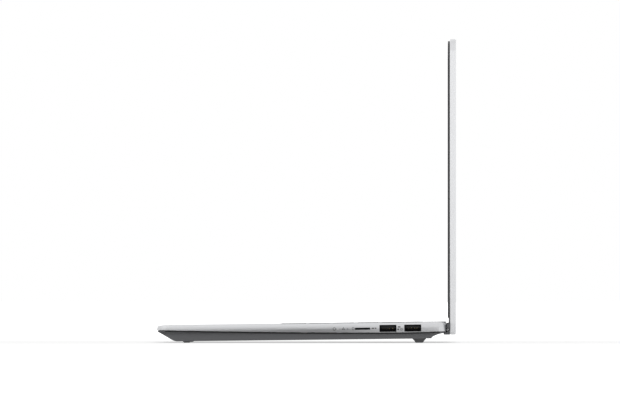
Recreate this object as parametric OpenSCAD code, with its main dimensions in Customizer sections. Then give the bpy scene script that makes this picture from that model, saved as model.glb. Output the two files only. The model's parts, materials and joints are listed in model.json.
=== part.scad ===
// Thin clamshell laptop computer, lid standing open at a right angle to the desk.
// Millimetres. X runs to the user's right, Y to the hinge, Z up; the feet stand on Z = 0.

/* [Case] */
// Width of the case
case_w = 312; // [306:1:330]
// Length of the keyboard deck, front lip to rear edge
deck_l = 216.7; // [214:0.1:230]
// Height of the deck above the desk at the front lip
deck_front_z = 12.8; // [12.4:0.1:14]
// Height of the deck above the desk at the rear edge
deck_rear_z = 15.7; // [15:0.1:17]
// Plan radius of the front corners
front_corner_r = 8; // [5:0.5:9]
// Plan radius of the rear corners
rear_corner_r = 6.5; // [4:0.5:7]
// Thickness of the deck's skin
deck_skin = 1.1; // [0.9:0.1:1.3]
// Thickness of the base's side, front and rear walls
side_wall = 1.6; // [1.2:0.1:1.8]
// Thickness of the bottom cover
belly_skin = 1.5; // [1.2:0.1:1.7]

/* [Side band] */
// Height of the top case's side band at the front lip
band_front = 3.3; // [3:0.1:3.6]
// Height of the side band at its deepest, beside the ports
band_deep = 7.45; // [7.2:0.05:7.9]
// Distance from the front lip to the deepest place of the side band
band_deep_at = 190; // [180:1:195]
// Height of the side band at the rear edge
band_rear = 6.9; // [6.6:0.1:7.2]
// Step inwards from the top case to the bottom cover
seam_step = 0.5; // [0.2:0.1:0.8]
// Gap of the seam between the two covers
seam_gap = 0.3; // [0.1:0.1:0.4]

/* [Underside] */
// Height of the upright face of the front lip
lip_h = 4.1; // [3.8:0.1:4.4]
// Length of the bevel under the front lip
nose_run = 13.4; // [12:0.1:15]
// Height of the belly above the desk, behind the front bevel
belly_front_z = 1.1; // [0.9:0.1:1.5]
// Height of the belly above the desk, in front of the rear bevel
belly_rear_z = 3.2; // [2.8:0.1:3.4]
// Length of the rear bevel
tail_run = 19.4; // [18:0.2:21]
// Width of the bevel along the sides
side_bevel = 5; // [3:0.5:6]

/* [Feet] */
// Width of the front feet on the desk
front_foot_w = 4; // [3:0.5:6]
// Length of each front foot
front_foot_l = 62; // [40:1:80]
// Distance of the front feet behind the lip
front_foot_in = 21.8; // [19:0.2:26]
// Width of the rear foot on the desk
rear_foot_w = 5.6; // [4:0.2:7]
// Distance from the case's sides to the ends of the feet
foot_side = 33; // [26:1:50]
// Distance of the rear foot in front of the rear edge
rear_foot_in = 20.6; // [20:0.2:24]
// Spread of a foot's root on each side, as a share of its height
foot_flare = 0.8; // [0.4:0.1:0.9]

/* [Lid] */
// Thickness of the lid cover, back to rim
lid_cover_t = 4.6; // [4.2:0.1:5]
// Thickness of the lid cover's back
lid_skin = 0.9; // [0.7:0.1:1.2]
// Width of the lid cover's rim
lid_rim = 2; // [1.8:0.1:2.4]
// Radius of the lid's corners
lid_corner_r = 9; // [7:0.5:10]
// Height of the bezel above the rim
bezel_t = 1.35; // [1.2:0.05:1.5]
// Step inwards from the lid's edge to the bezel
bezel_in = 1.5; // [1:0.1:1.7]
// Gap between bezel and deck with the lid shut
shut_gap = 0.4; // [0.3:0.05:0.6]
// Distance from the lid's sides to the picture
screen_side = 5.2; // [5:0.1:8]
// Distance from the lid's top edge to the picture
screen_top = 9.6; // [9.2:0.1:11]
// Distance from the lid's bottom edge to the picture
screen_foot = 22.9; // [20:0.1:30]
// Height of the grey strip at the foot of the lid
strip_h = 12.5; // [12:0.1:13.5]

/* [Hinge] */
// Distance from the hinge axis to the deck's rear edge
hinge_in = 2.4; // [2:0.1:2.8]
// Depth of the hinge axis under the deck
hinge_drop = 2.9; // [2.8:0.1:3.1]
// Reach of the lid below the hinge axis
chin_drop = 6.7; // [6.2:0.1:7]
// Furthest lean of the lid behind upright, in degrees
lean_max = 40; // [35:1:45]
// Radius of the hinge pin
pin_r = 1.2; // [1:0.05:1.3]
// Radial running clearance on the pin
pin_clear = 0.05; // [0.03:0.01:0.08]
// Outer radius of the hinge barrel
barrel_r = 2.85; // [2.8:0.05:3]
// Length of each hinge barrel
barrel_l = 45; // [38:1:47]
// Distance from the case's side to each barrel's outer end
barrel_in = 16.5; // [15:0.5:20]

/* [Keyboard] */
// Distance from the case's sides to the block of keys
keys_side = 18.25; // [17:0.05:25]
// Distance from the front lip to the block of keys
keys_in = 92.7; // [92:0.1:97]
// Depth of the function row
function_pitch = 13; // [12:0.5:13]
// Gap between neighbouring keys
key_gap = 3; // [2.6:0.1:3.4]
// Running clearance round each key in its hole
key_clear = 0.35; // [0.25:0.05:0.45]
// Travel of a key
key_travel = 1.4; // [1:0.1:1.5]
// Height of a key cap
cap_h = 2.3; // [2.1:0.1:2.4]
// Wall of a key cap
cap_wall = 0.8; // [0.6:0.1:0.9]
// Thickness of the grid between the keys
grid_t = 0.8; // [0.6:0.1:0.9]
// Distance from the keys to the deck's rear edge
keys_rear_in = 19.5; // [19:0.1:20.5]

/* [Touchpad and button] */
// Width of the touchpad
pad_w = 120; // [105:1:128]
// Distance from the touchpad to the keys
pad_strip = 11.2; // [10:0.1:20]
// Distance from the front lip to the touchpad
pad_in = 6.5; // [6:0.1:8]
// Thickness of the touchpad
pad_t = 1.5; // [1.2:0.1:1.6]
// Gap round the touchpad and the power button
pad_gap = 0.3; // [0.2:0.05:0.5]
// Width of the power button
button_w = 14; // [10:0.5:16]
// Depth of the power button
button_d = 5; // [4:0.2:5.4]

/* [Ports] */
// Width of a full-size port's mouth
port_w = 12.5; // [12:0.1:13]
// Height of a full-size port's mouth
port_h = 5.12; // [4.8:0.02:5.2]
// Depth of the ports' centre line under the deck
port_drop = 4.3; // [4.3:0.02:4.44]
// Distance from the deck's rear edge to the rear full-size port
rear_port_in = 25.5; // [24.5:0.1:28]
// Distance from the deck's rear edge to the front full-size port
front_port_in = 44; // [42:0.1:46]
// Distance from the deck's rear edge to the card slot
card_in = 63; // [60:0.1:66]
// Distance from the deck's rear edge to the status light
light_in = 81.4; // [80:0.1:90]
// Distance from the deck's rear edge to the reset pinhole
pinhole_in = 74.2; // [72.5:0.1:76]
// Distance from the deck's rear edge to the video port, on the left
video_in = 32.7; // [31:0.1:36]
// Distance from the deck's rear edge to the rear charge port, on the left
rear_charge_in = 50.7; // [48:0.1:53]
// Distance from the deck's rear edge to the front charge port, on the left
front_charge_in = 65.7; // [63:0.1:68]
// Distance from the deck's rear edge to the audio socket, on the left
audio_in = 82.7; // [80:0.1:90]
// Width of the card slot
card_w = 11.4; // [11:0.1:12]
// Radius of the audio socket's bore
audio_r = 1.8; // [1.75:0.05:1.9]

/* [Hidden] */
$fn = 48;
eps = 0.01;
big = 400;

// --- places worked out from the sizes above ---
pad_d = keys_in - pad_strip - pad_in;
key_units = 14.5;
key_pitch = (case_w - 2 * keys_side) / key_units;
row_pitch = (deck_l - keys_rear_in - keys_in - function_pitch) / 5;
foot_half = case_w / 2 - foot_side;
barrel_from = case_w / 2 - barrel_in - barrel_l;
deck_tilt = asin((deck_rear_z - deck_front_z) / deck_l);
face_out = hinge_drop + shut_gap;                  // hinge axis to the bezel's face
lid_t = lid_cover_t + bezel_t;
axis_v = deck_l - hinge_in;
axis_run = axis_v * cos(deck_tilt) + hinge_drop * sin(deck_tilt);
y_front = -(axis_run + face_out + lid_t) / 2;
y_rear = y_front + deck_l * cos(deck_tilt);
axis_y = y_front + axis_run;
axis_z = deck_front_z + axis_v * sin(deck_tilt) - hinge_drop * cos(deck_tilt);
lid_face_y = axis_y + face_out;
rim_y = lid_face_y + bezel_t;
lid_bottom_z = axis_z - chin_drop;
lid_top_z = axis_z + axis_v;
nose_z = deck_front_z - lip_h;
tail_z = belly_rear_z + 4.2;                       // top of the rear bevel
rear_z = deck_front_z + deck_l * sin(deck_tilt);

function deck_pt(v, w) = [
    y_front + v * cos(deck_tilt) - w * sin(deck_tilt),
    deck_front_z + v * sin(deck_tilt) + w * cos(deck_tilt)];
function belly_z(y) = belly_front_z + belly_slope * (y - y_front - nose_run);
function belly_w(v) = (belly_z(y_front + v) - deck_front_z - v * sin(deck_tilt)) / cos(deck_tilt);

// where the leaning lid passes: a plane at distance s from the hinge axis, at the furthest lean
function swing_y(z, s) = axis_y + (s - (axis_z - z) * sin(lean_max)) / cos(lean_max);
function swing_z(y, s) = axis_z - (s - (y - axis_y) * cos(lean_max)) / sin(lean_max);

// --- shared shapes ---
function round_rect(w, d, r, n = 5) = [
    for (c = [0:3]) for (i = [0:n])
        let (a = 90 * c + 90 * i / n,
             cx = (c == 0 || c == 3 ? 1 : -1) * (w / 2 - r),
             cy = (c < 2 ? 1 : -1) * (d / 2 - r))
        [cx + r * cos(a), cy + r * sin(a)]];

module slab(w, d, r, h) { linear_extrude(h) polygon(round_rect(w, d, r)); }
module box(lo, hi) { translate(lo) cube(hi - lo); }
module on_deck() { translate([0, y_front, deck_front_z]) rotate([deck_tilt, 0, 0]) children(); }
module along_x(x0, x1) { translate([x0, 0, 0]) rotate([90, 0, 90]) linear_extrude(x1 - x0) children(); }
module along_y(y0, y1) { translate([0, y1, 0]) rotate([90, 0, 0]) linear_extrude(y1 - y0) children(); }
module both_sides() { for (side = [0, 1]) mirror([side, 0, 0]) children(); }
module lid_plate(w, z0, z1, r, s0, s1) {
    along_y(lid_face_y + s0, lid_face_y + s1)
        translate([0, (z0 + z1) / 2]) polygon(round_rect(w, z1 - z0, r));
}

// --- outlines of the base, seen from the side ---
swing_room = 0.05;
swing_s = face_out - swing_room;                   // the base stays inside this distance of the leaning lid
end_s = swing_s + bezel_t;                         // and inside this one beside the channel
seam_power = 1.6;
seam = concat(
    [for (t = [0:0.125:1]) [t * band_deep_at, band_deep - (band_deep - band_front) * pow(1 - t, seam_power)]],
    [[deck_l + 2, band_rear]]);

function curve(a, c, b, n = 4) = [
    for (i = [0:n]) let (t = i / n) a * pow(1 - t, 2) + 2 * c * t * (1 - t) + b * t * t];
nose_soft = 1.8;                                   // half length of the rounding under the nose
nose_slope = (nose_z - belly_front_z) / nose_run;
belly_slope = (belly_rear_z - belly_front_z) / (y_rear - tail_run - y_front - nose_run);
function nose_curve(y, z) = curve(
    [y - nose_soft, z + nose_soft * nose_slope], [y, z], [y + nose_soft, z + nose_soft * belly_slope]);
function tail_curve(in, lift) = concat(
    [[y_rear - tail_run, belly_rear_z + lift]],
    curve([y_rear - tail_run * 0.62, belly_rear_z + 0.55 + lift],
        [y_rear - tail_run * 0.36, tail_z - 0.3 + lift],
        [swing_y(tail_z, end_s - in), tail_z + lift]));

function side_outline() = concat(
    [[y_rear, rear_z], [y_front, deck_front_z], [y_front, nose_z]],
    nose_curve(y_front + nose_run, belly_front_z),
    tail_curve(0, 0),
    [[y_rear, swing_z(y_rear, end_s)]]);
function above_seam(gap) = concat(
    [for (p = seam) deck_pt(p[0], -p[1] - gap)],
    [[y_rear + 20, 40], [y_front - 20, 40], deck_pt(-20, -band_front - gap)]);
function inner_outline() = concat(
    [[y_rear - side_wall, deck_pt(deck_l - side_wall, -deck_skin)[1]], deck_pt(side_wall, -deck_skin),
        [y_front + side_wall, nose_z - side_wall * nose_slope + belly_skin * 1.18]],
    nose_curve(y_front + nose_run + belly_skin * 0.29, belly_front_z + belly_skin),
    tail_curve(side_wall, belly_skin * 1.1),
    [[y_rear - side_wall, swing_z(y_rear - side_wall, end_s - side_wall)]]);

// outline seen from the front: upright walls, then a bevel down to the belly
bevel_top_z = belly_rear_z + 3.7;
function front_outline(inset, lift) = let (x = case_w / 2 - inset) [
    [-x, 40], [-x, bevel_top_z + lift], [-x + side_bevel, belly_front_z + lift - 0.4],
    [-x + side_bevel, -1 + lift], [x - side_bevel, -1 + lift], [x - side_bevel, belly_front_z + lift - 0.4],
    [x, bevel_top_z + lift], [x, 40]];

module footprint(inset) {
    // plan of the base with its own front and rear corner radii
    fr = front_corner_r - inset;
    rr = rear_corner_r - inset;
    y0 = y_front + inset;
    y1 = y_rear - inset;
    x = case_w / 2 - inset;
    n = 6;
    polygon([
        for (i = [0:n]) let (a = 90 * i / n) [x - rr + rr * cos(a), y1 - rr + rr * sin(a)],
        for (i = [0:n]) let (a = 90 + 90 * i / n) [-x + rr + rr * cos(a), y1 - rr + rr * sin(a)],
        for (i = [0:n]) let (a = 180 + 90 * i / n) [-x + fr + fr * cos(a), y0 + fr + fr * sin(a)],
        for (i = [0:n]) let (a = 270 + 90 * i / n) [x - fr + fr * cos(a), y0 + fr + fr * sin(a)]]);
}
// how far the outer wall draws in at each depth below the deck
wall_curve = [[-1, 1.9], [0, 0.9], [0.5, 0.45], [1.3, 0.15], [2.6, 0], [4.2, 0], [7, 0.2], [11, 0.6], [15, 1.2]];
module base_walls(inset) {
    hull() for (p = wall_curve) on_deck() translate([0, -y_front, -p[0]])
        linear_extrude(eps) footprint(inset + p[1]);
}
module base_block(inset) {
    intersection() {
        along_x(-big, big) polygon(side_outline());
        along_y(-big, big) polygon(front_outline(inset, 0));
        base_walls(inset);
    }
}
module base_hollow() {
    intersection() {
        along_x(-big, big) polygon(inner_outline());
        along_y(-big, big) polygon(front_outline(side_wall, belly_skin * 0.35));
        translate([0, 0, -1]) linear_extrude(40) footprint(side_wall);
    }
}

// --- the channel under the base's rear edge that the foot of the lid swings through ---
strip_half = case_w / 2 - lid_corner_r;
channel_half = strip_half + 0.8;
channel_wall = 1;
channel_end = channel_half + channel_wall;
channel_clear = 0.15;
hook_t = 1.5;
swing_r = norm([face_out + 0.3, chin_drop]) + 0.4;
roof_r = norm([0, chin_drop - hook_t]) - 0.25;
channel_from = lean_max + 92;
module pie(from, to) {
    reach = 14;
    rim = [for (i = [0:6]) let (a = from + (to - from) * i / 6) reach * [cos(a), sin(a)]];
    polygon(concat([[0, 0]], rim));
}
module lid_path(grow) {
    translate([axis_y, axis_z]) {
        intersection() {
            difference() { circle(swing_r + grow); circle(roof_r - grow); }
            pie(-channel_from - 9 * grow, -35);
        }
        rotate(-lean_max) translate([swing_s - grow, -14]) square([14, 17]);
    }
}
rear_lip_z = axis_z - 2.3;                         // lower edge of the top case's rear wall
module channel_block() {
    intersection() {
        along_x(-channel_end, channel_end) lid_path(channel_wall);
        along_x(-big, big) polygon([[0, 0], [y_rear + 9, 0], [y_rear + 9, rear_lip_z], [0, rear_lip_z]]);
    }
}
module channel_cheeks() {
    // a round end wall behind each end of the channel, about the hinge axis
    behind = y_rear - axis_y + seam_gap;
    under = axis_z - rear_lip_z + 0.1;
    both_sides() along_x(channel_half, channel_end) translate([axis_y, axis_z]) intersection() {
        circle(end_s - 0.15);
        polygon([[-2, -9], [9, -9], [9, 9], [behind, 9], [behind, -under], [-2, -under]]);
    }
}

// --- groove along the side walls, under the seam ---
groove_h = 0.8;
groove_in = 0.6;
module seam_groove() {
    side = case_w / 2 - rear_corner_r;
    difference() {
        along_x(-big, big) polygon(above_seam(seam_gap + groove_h));
        translate([0, 0, -2]) linear_extrude(50) union() {
            footprint(seam_step + groove_in);
            translate([-side, -big]) square([2 * side, 2 * big]);
        }
    }
}

// --- base: covers ---
notch_r = barrel_r + 0.6;
module hinge_notch() {
    // room for one barrel and its web, open to the rear
    along_x(barrel_from - 0.5, barrel_from + barrel_l + 0.5) translate([axis_y, axis_z]) {
        circle(notch_r);
        translate([-notch_r, 0]) square([30, 20]);
        translate([0, -notch_r - 3]) square([30, 20]);
    }
}

boss_r = 2.4;
screw_r = 0.95;
screw_clear = 0.05;
head_r = 1.8;
head_t = 0.8;
boss_x = case_w / 2 - side_wall - boss_r - 2.8;
rear_boss_v = deck_l - 13.2;
front_boss_v = 17;
mid_boss_v = deck_l - audio_in - 24;
screw_places = [
    [-boss_x, front_boss_v], [-75, front_boss_v], [75, front_boss_v], [boss_x, front_boss_v],
    [-boss_x, mid_boss_v], [boss_x, mid_boss_v],
    [-boss_x, rear_boss_v], [37 - barrel_from, rear_boss_v], [boss_x, rear_boss_v]];

opening_side = 1.3;                                // deck opening beyond the keys' block
keys_w = key_units * key_pitch;
keys_d = function_pitch + 5 * row_pitch;
keys_rear = deck_l - keys_rear_in;
keys_mid = keys_rear - keys_d / 2;
tray_side = 2;                                     // keyboard tray beyond the keys' block
tray_top = -deck_skin - grid_t;
sheet_top = -(cap_h + key_travel + 0.3);
sheet_t = 0.3;
plate_t = 0.6;
pad_x = -key_pitch * 0.375;                        // the touchpad is centred under the space bar
pad_mid = pad_in + pad_d / 2;
button_x = barrel_from + 30;
button_v = (keys_rear + opening_side + axis_v - notch_r) / 2;

rear_port_at = deck_l - rear_port_in;
front_port_at = deck_l - front_port_in;
card_at = deck_l - card_in;
light_at = deck_l - light_in;
pinhole_at = deck_l - pinhole_in;
port_wall = 0.35;
port_depth = 12;
video_at = deck_l - video_in;
charge_at = [deck_l - rear_charge_in, deck_l - front_charge_in];
audio_at = deck_l - audio_in;
audio_drop = port_drop + 0.06;
video_size = [15.2, 5.6];
charge_size = [9, 3.2];
audio_l = 12;
audio_body = 6.8;

module side_hole(side, v, w, drop, h, r) {
    // a rounded cut through one side wall
    on_deck() translate([side * (case_w / 2 - side_wall - 0.5), v, -drop]) rotate([90, 0, 90 * side])
        linear_extrude(side_wall + 2) polygon(round_rect(w, h, r, 3));
}
module round_side_hole(side, v, drop, r) {
    on_deck() translate([side * (case_w / 2 - side_wall - 0.5), v, -drop]) rotate([0, 90 * side, 0])
        cylinder(r = r, h = side_wall + 2);
}

module top_case() {
    color("silver") difference() {
        union() {
            difference() {
                intersection() {
                    base_block(0);
                    along_x(-big, big) polygon(above_seam(0));
                }
                base_hollow();
            }
            intersection() {
                on_deck() for (p = screw_places)
                    translate([p[0], p[1], -20]) cylinder(r = boss_r, h = 20 - deck_skin / 2);
                union() {
                    base_hollow();
                    along_x(-big, big) polygon([deck_pt(0, -deck_skin), deck_pt(deck_l, -deck_skin),
                        deck_pt(deck_l, -deck_skin / 3), deck_pt(0, -deck_skin / 3)]);
                }
            }
        }
        on_deck() {
            for (p = screw_places) translate([p[0], p[1], -20]) cylinder(r = screw_r + screw_clear, h = 16.5);
            translate([0, keys_mid, -3]) slab(keys_w + 2 * opening_side, keys_d + 2 * opening_side, 2.5, 6);
            translate([pad_x, pad_mid, -3]) slab(pad_w + 2 * pad_gap, pad_d + 2 * pad_gap, 3, 6);
            translate([button_x, button_v, -3])
                slab(button_w + 2 * pad_gap, button_d + 2 * pad_gap, button_d / 2, 6);
        }
        along_x(-channel_end - channel_clear, channel_end + channel_clear) lid_path(channel_wall);
        both_sides() hinge_notch();
        both_sides() translate([ear_x - 2.2, axis_y, axis_z]) rotate([0, 90, 0])
            cylinder(r = ear_r + 0.1, h = barrel_from - ear_x + 2);
        for (v = [rear_port_at, front_port_at]) side_hole(1, v, port_w + 0.2, port_drop, port_h + 0.2, 0.4);
        side_hole(1, card_at, card_w + 0.2, port_drop, 1.6, 0.6);
        round_side_hole(1, light_at, port_drop, 0.5);
        round_side_hole(1, pinhole_at, port_drop, 0.5);
        side_hole(-1, video_at, video_size[0] + 0.2, port_drop, video_size[1] + 0.2, 0.8);
        for (v = charge_at) side_hole(-1, v, charge_size[0] + 0.2, port_drop, charge_size[1] + 0.2, 1.5);
        round_side_hole(-1, audio_at, audio_drop, audio_r + 0.8);
        rear_vents();
    }
}

vent_pitch = 6;
module rear_vents() {
    // slots in the rear wall between the hinges
    n = floor((barrel_from - 16) / vent_pitch);
    for (i = [-n:n]) translate([i * vent_pitch, y_rear, (rear_lip_z + rear_z - deck_skin) / 2 + 0.1])
        cube([vent_pitch - 1.6, 8, 1.9], center = true);
}

module belly_cut(x, v, w, d) {
    // a slot through the bottom cover, square to the deck
    on_deck() translate([x, v, belly_w(v) - 2]) slab(w, d, min(w, d) / 2 - eps, belly_skin + 4);
}
module bottom_cover() {
    color("dimgray") union() {
        channel_cheeks();
        difference() {
            base_block(seam_step);
            difference() {
                union() {
                    base_hollow();
                    along_x(-big, big) polygon(above_seam(seam_gap));
                }
                channel_block();
            }
            seam_groove();
            along_x(-channel_half, channel_half) lid_path(0);
            both_sides() hinge_notch();
            on_deck() for (p = screw_places) translate([p[0], p[1], belly_w(p[1]) - 2]) {
                cylinder(r = screw_r + 0.15, h = belly_skin + 4);
                cylinder(r = head_r + 0.2, h = 2 + head_t + 0.1);
            }
            for (i = [-8:8]) belly_cut(fan_x + i * 3.4, fan_v, 1.6, 40 - abs(i) * 1.6);
            for (i = [-6:6]) belly_cut(chip_x - 15 + i * 5, fan_v, 2, 26);
            both_sides() for (i = [-2:2]) belly_cut(speaker_x, speaker_mouth_v + i * 3.2, speaker_w - 8, 1.4);
        }
    }
}

module foot_outline(y, w) {
    // flat on the desk, hollowed at both sides, and as wide again as its flare at the belly
    flare = foot_flare * belly_z(y);
    side = [[0, 0], [0.3, 0.45], [1, 1]];
    function edge(way, p) = let (py = y + way * (w / 2 + flare * p[0])) [py, p[1] * belly_z(py)];
    polygon(concat([for (i = [2:-1:0]) edge(-1, side[i])], [for (p = side) edge(1, p)]));
}
module front_feet() {
    color([0.2, 0.2, 0.21]) both_sides() along_x(foot_half - front_foot_l, foot_half)
        foot_outline(y_front + front_foot_in, front_foot_w);
}
module rear_foot() {
    color([0.2, 0.2, 0.21]) along_x(-foot_half, foot_half)
        foot_outline(y_rear - rear_foot_in, rear_foot_w);
}

// --- keyboard ---
function ones(n) = [for (i = [1:n]) 1];
key_rows = [
    [for (i = [1:16]) key_units / 16],
    concat(ones(13), [1.5]),
    concat([1.5], ones(13)),
    concat([1.75], ones(11), [1.75]),
    concat([2.25], ones(10), [2.25]),
    [1.25, 1, 1, 1, 5, 1, 1.25, 1, 1, 1]];
up_down_key = 8;                                   // split into two half keys
function key_start(row, i) = i == 0 ? 0 : key_start(row, i - 1) + row[i - 1];
function row_depth(r) = r == 0 ? function_pitch : row_pitch;
function row_mid(r) = keys_rear - (r == 0 ? function_pitch / 2 : function_pitch + (r - 0.5) * row_pitch);
function key_x(r, i) = (key_start(key_rows[r], i) + key_rows[r][i] / 2) * key_pitch - keys_w / 2;
function halves(r, i) = r == 5 && i == up_down_key;

module each_key(r, from, to) {
    // calls its child with $cap set to the key's width and depth, at the key's middle
    for (i = [from:to]) {
        w = key_rows[r][i] * key_pitch - key_gap;
        d = row_depth(r) - key_gap;
        if (halves(r, i)) for (s = [-1, 1])
            translate([key_x(r, i), row_mid(r) + s * (d + key_clear * 2 + 0.4) / 4, 0]) {
                $cap = [w, (d - key_clear * 2 - 0.4) / 2];
                children();
            }
        else translate([key_x(r, i), row_mid(r), 0]) {
            $cap = [w, d];
            children();
        }
    }
}
cap_top = -0.1;
module key_cap() {
    translate([0, 0, cap_top - cap_h]) difference() {
        slab($cap[0], $cap[1], 1.3, cap_h);
        translate([0, 0, -1]) slab($cap[0] - 2 * cap_wall, $cap[1] - 2 * cap_wall, 0.6, cap_h - cap_wall + 1);
    }
}
module keys(r, from, to) {
    color([0.42, 0.43, 0.45]) on_deck() each_key(r, from, to) key_cap();
}
module function_keys() { keys(0, 0, 15); }
module number_keys() { keys(1, 0, 12); }
module backspace_key() { keys(1, 13, 13); }
module upper_letter_keys() { keys(2, 0, 13); }
module home_letter_keys() { keys(3, 0, 11); }
module enter_key() { keys(3, 12, 12); }
module left_shift_key() { keys(4, 0, 0); }
module lower_letter_keys() { keys(4, 1, 10); }
module right_shift_key() { keys(4, 11, 11); }
module modifier_keys() { keys(5, 0, 3); keys(5, 5, 6); }
module space_bar() { keys(5, 4, 4); }
module arrow_keys() { keys(5, 7, 9); }

all_rows = [0:5];
module all_keys() {
    for (r = all_rows) each_key(r, 0, len(key_rows[r]) - 1) children();
}
grid_lap = 2;                                      // how far the grid laps under the deck all round
module keyboard_grid() {
    w = keys_w + 2 * (opening_side + grid_lap);
    d = keys_d + 2 * (opening_side + grid_lap);
    color("silver") on_deck() difference() {
        translate([0, keys_mid, tray_top]) slab(w, d, 3, grid_t);
        all_keys() translate([0, 0, tray_top - 1])
            slab($cap[0] + 2 * key_clear, $cap[1] + 2 * key_clear, 1.5, grid_t + 2);
    }
}
module keyboard_membrane() {
    dome_h = cap_h - cap_wall - 0.1;
    color("gainsboro") on_deck() {
        translate([0, keys_mid, sheet_top - sheet_t]) slab(keys_w, keys_d, 2, sheet_t);
        all_keys() translate([0, 0, sheet_top - eps]) cylinder(r1 = 2.3, r2 = 1.6, h = dome_h);
    }
}
tray_bottom = sheet_top - sheet_t - plate_t;
tray_wall = 0.6;
module keyboard_plate() {
    w = keys_w + 2 * tray_side;
    d = keys_d + 2 * tray_side;
    color("darkgray") on_deck() translate([0, keys_mid, tray_bottom]) difference() {
        slab(w, d, 2.5, tray_top - tray_bottom);
        translate([0, 0, plate_t]) slab(w - 2 * tray_wall, d - 2 * tray_wall, 2, 10);
    }
}

// --- touchpad and power button ---
pad_top = -0.15;
module touchpad() {
    color([0.72, 0.73, 0.75]) on_deck() translate([pad_x, pad_mid, pad_top - pad_t])
        slab(pad_w, pad_d, 2.7, pad_t);
}
pad_play = 0.7;                                    // room under the touchpad for its click
module touchpad_bracket() {
    drop = pad_t - pad_top + pad_play;
    sheet = 0.6;
    color("darkgray") on_deck() translate([pad_x, pad_mid, -drop]) difference() {
        translate([0, 0, -sheet]) slab(pad_w + 5, pad_d + 4, 3.5, drop + sheet - deck_skin);
        slab(pad_w + 2.6, pad_d + 1.8, 3, 8);
        translate([0, 0, -2]) slab(pad_w - 40, pad_d - 30, 3, 8);
    }
}
module power_button() {
    // the cap's flange rests 0.05 under the deck's skin
    flange_t = 0.8;
    color("silver") on_deck() translate([button_x, button_v, -deck_skin - 0.05]) {
        translate([0, 0, -0.1]) slab(button_w, button_d, button_d / 2 - eps, deck_skin + 0.05);
        translate([0, 0, -flange_t]) slab(button_w + 2, button_d + 1.4, button_d / 2, flange_t);
    }
}

// --- inside the base ---
board_top = tray_bottom - 1.5;
board_t = 0.8;
board_bottom = board_top - board_t;
port_inner_x = case_w / 2 - side_wall;
fan_r = 25;
fan_x = barrel_from - 38.5;
board_x = [-(port_inner_x - port_depth - 0.2), fan_x - fan_r - 9];
board_v = [keys_in + 5.3, keys_rear - 1.2];
board_hole = 1.5;

battery_side = 44;                                 // from the case's side to the battery
battery_w = case_w - 2 * battery_side;
battery_v = [front_boss_v + boss_r + 1.6, board_v[0] - 9];
battery_mid = (battery_v[0] + battery_v[1]) / 2;
battery_d = battery_v[1] - battery_v[0];
battery_w0 = belly_w(battery_v[0]) + belly_skin + 0.3;
battery_t = 5.2;
frame_floor = 0.5;
cells = 4;
cell_pitch = battery_w / cells;
module each_cell() {
    translate([-(cells - 1) * cell_pitch / 2, battery_mid, battery_w0 + frame_floor])
        for (i = [0:cells - 1]) translate([i * cell_pitch, 0, 0]) children();
}
module battery_frame() {
    color([0.12, 0.12, 0.13]) on_deck() difference() {
        translate([0, battery_mid, battery_w0]) slab(battery_w, battery_d, 2, battery_t - 0.6);
        each_cell() slab(cell_pitch - 1.6, battery_d - 3, 1, battery_t);
    }
}
module battery_cells() {
    color([0.3, 0.3, 0.32]) on_deck() each_cell()
        slab(cell_pitch - 2, battery_d - 3.4, 1, battery_t - frame_floor);
}
speaker_gap = 4;
speaker_w = port_inner_x - battery_w / 2 - 2 * speaker_gap - 0.4;
speaker_x = battery_w / 2 + speaker_gap + speaker_w / 2;
speaker_d = battery_d - 2 * speaker_gap;
speaker_t = 6;
speaker_mouth_v = battery_mid - 12;
module speakers() {
    color([0.1, 0.1, 0.1]) both_sides() on_deck() translate([speaker_x, 0, battery_w0]) difference() {
        translate([0, battery_mid, 0]) slab(speaker_w, speaker_d, 3, speaker_t);
        translate([0, speaker_mouth_v, -1]) slab(speaker_w - 10, 14, 3, 2);
    }
}

fan_v = keys_rear - 29.2;
fins_v = [keys_rear + 3, keys_rear + 8.6];
fan_top = tray_bottom - 0.2;
fan_bottom = fan_top - 4.9;
fan_skin = 0.6;
module mainboard() {
    color([0.05, 0.25, 0.18]) on_deck() difference() {
        box([board_x[0], board_v[0], board_bottom], [board_x[1], board_v[1], board_top]);
        for (x = [board_x[0] + 12, board_x[1] - 8], v = [board_v[0] + 6, board_v[1] - 6])
            translate([x, v, board_top - 2]) cylinder(r = board_hole, h = 4);
        translate([-port_inner_x, audio_at - audio_body / 2 - 0.3, board_top - 2])
            cube([audio_l + 1.8, audio_body + 0.6, 4]);
    }
}
chip_x = -35;
chip_v = fan_v - 17;
module processor() {
    color([0.25, 0.27, 0.25]) on_deck() translate([chip_x, chip_v, board_bottom]) {
        box([-17, -13, -0.5], [17, 13, 0]);
        box([-9, -5, -1], [9, 5, -0.5]);
    }
}
module memory_chips() {
    color([0.08, 0.08, 0.08]) on_deck() for (i = [0:3])
        translate([chip_x - 24 + i * 15, board_v[0] + 3, board_bottom - 0.9]) cube([12, 10, 0.9]);
}
pipe_top = board_bottom - 1;                       // the spreader lies on the processor
pipe_w = 8;
pipe_t = 1;
spreader_t = 0.8;
module heat_pipe() {
    // a spreader on the processor, a pipe to the rear and a pipe along the fins
    spreader_w = pipe_top - spreader_t;
    pipe_v = [fins_v[0] + 0.3, fins_v[0] + 3.3];
    color([0.72, 0.43, 0.25]) on_deck() {
        box([chip_x - 19, chip_v - 15, spreader_w], [chip_x + 19, chip_v + 15, pipe_top]);
        box([chip_x, chip_v + 15 - eps, spreader_w], [chip_x + pipe_w, pipe_v[1], pipe_top]);
        box([chip_x, chip_v + 21, spreader_w - pipe_t], [chip_x + pipe_w, pipe_v[0] + 0.1, spreader_w + eps]);
        box([chip_x, pipe_v[0], spreader_w - pipe_t], [fan_x + 27, pipe_v[1], spreader_w]);
    }
}
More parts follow.
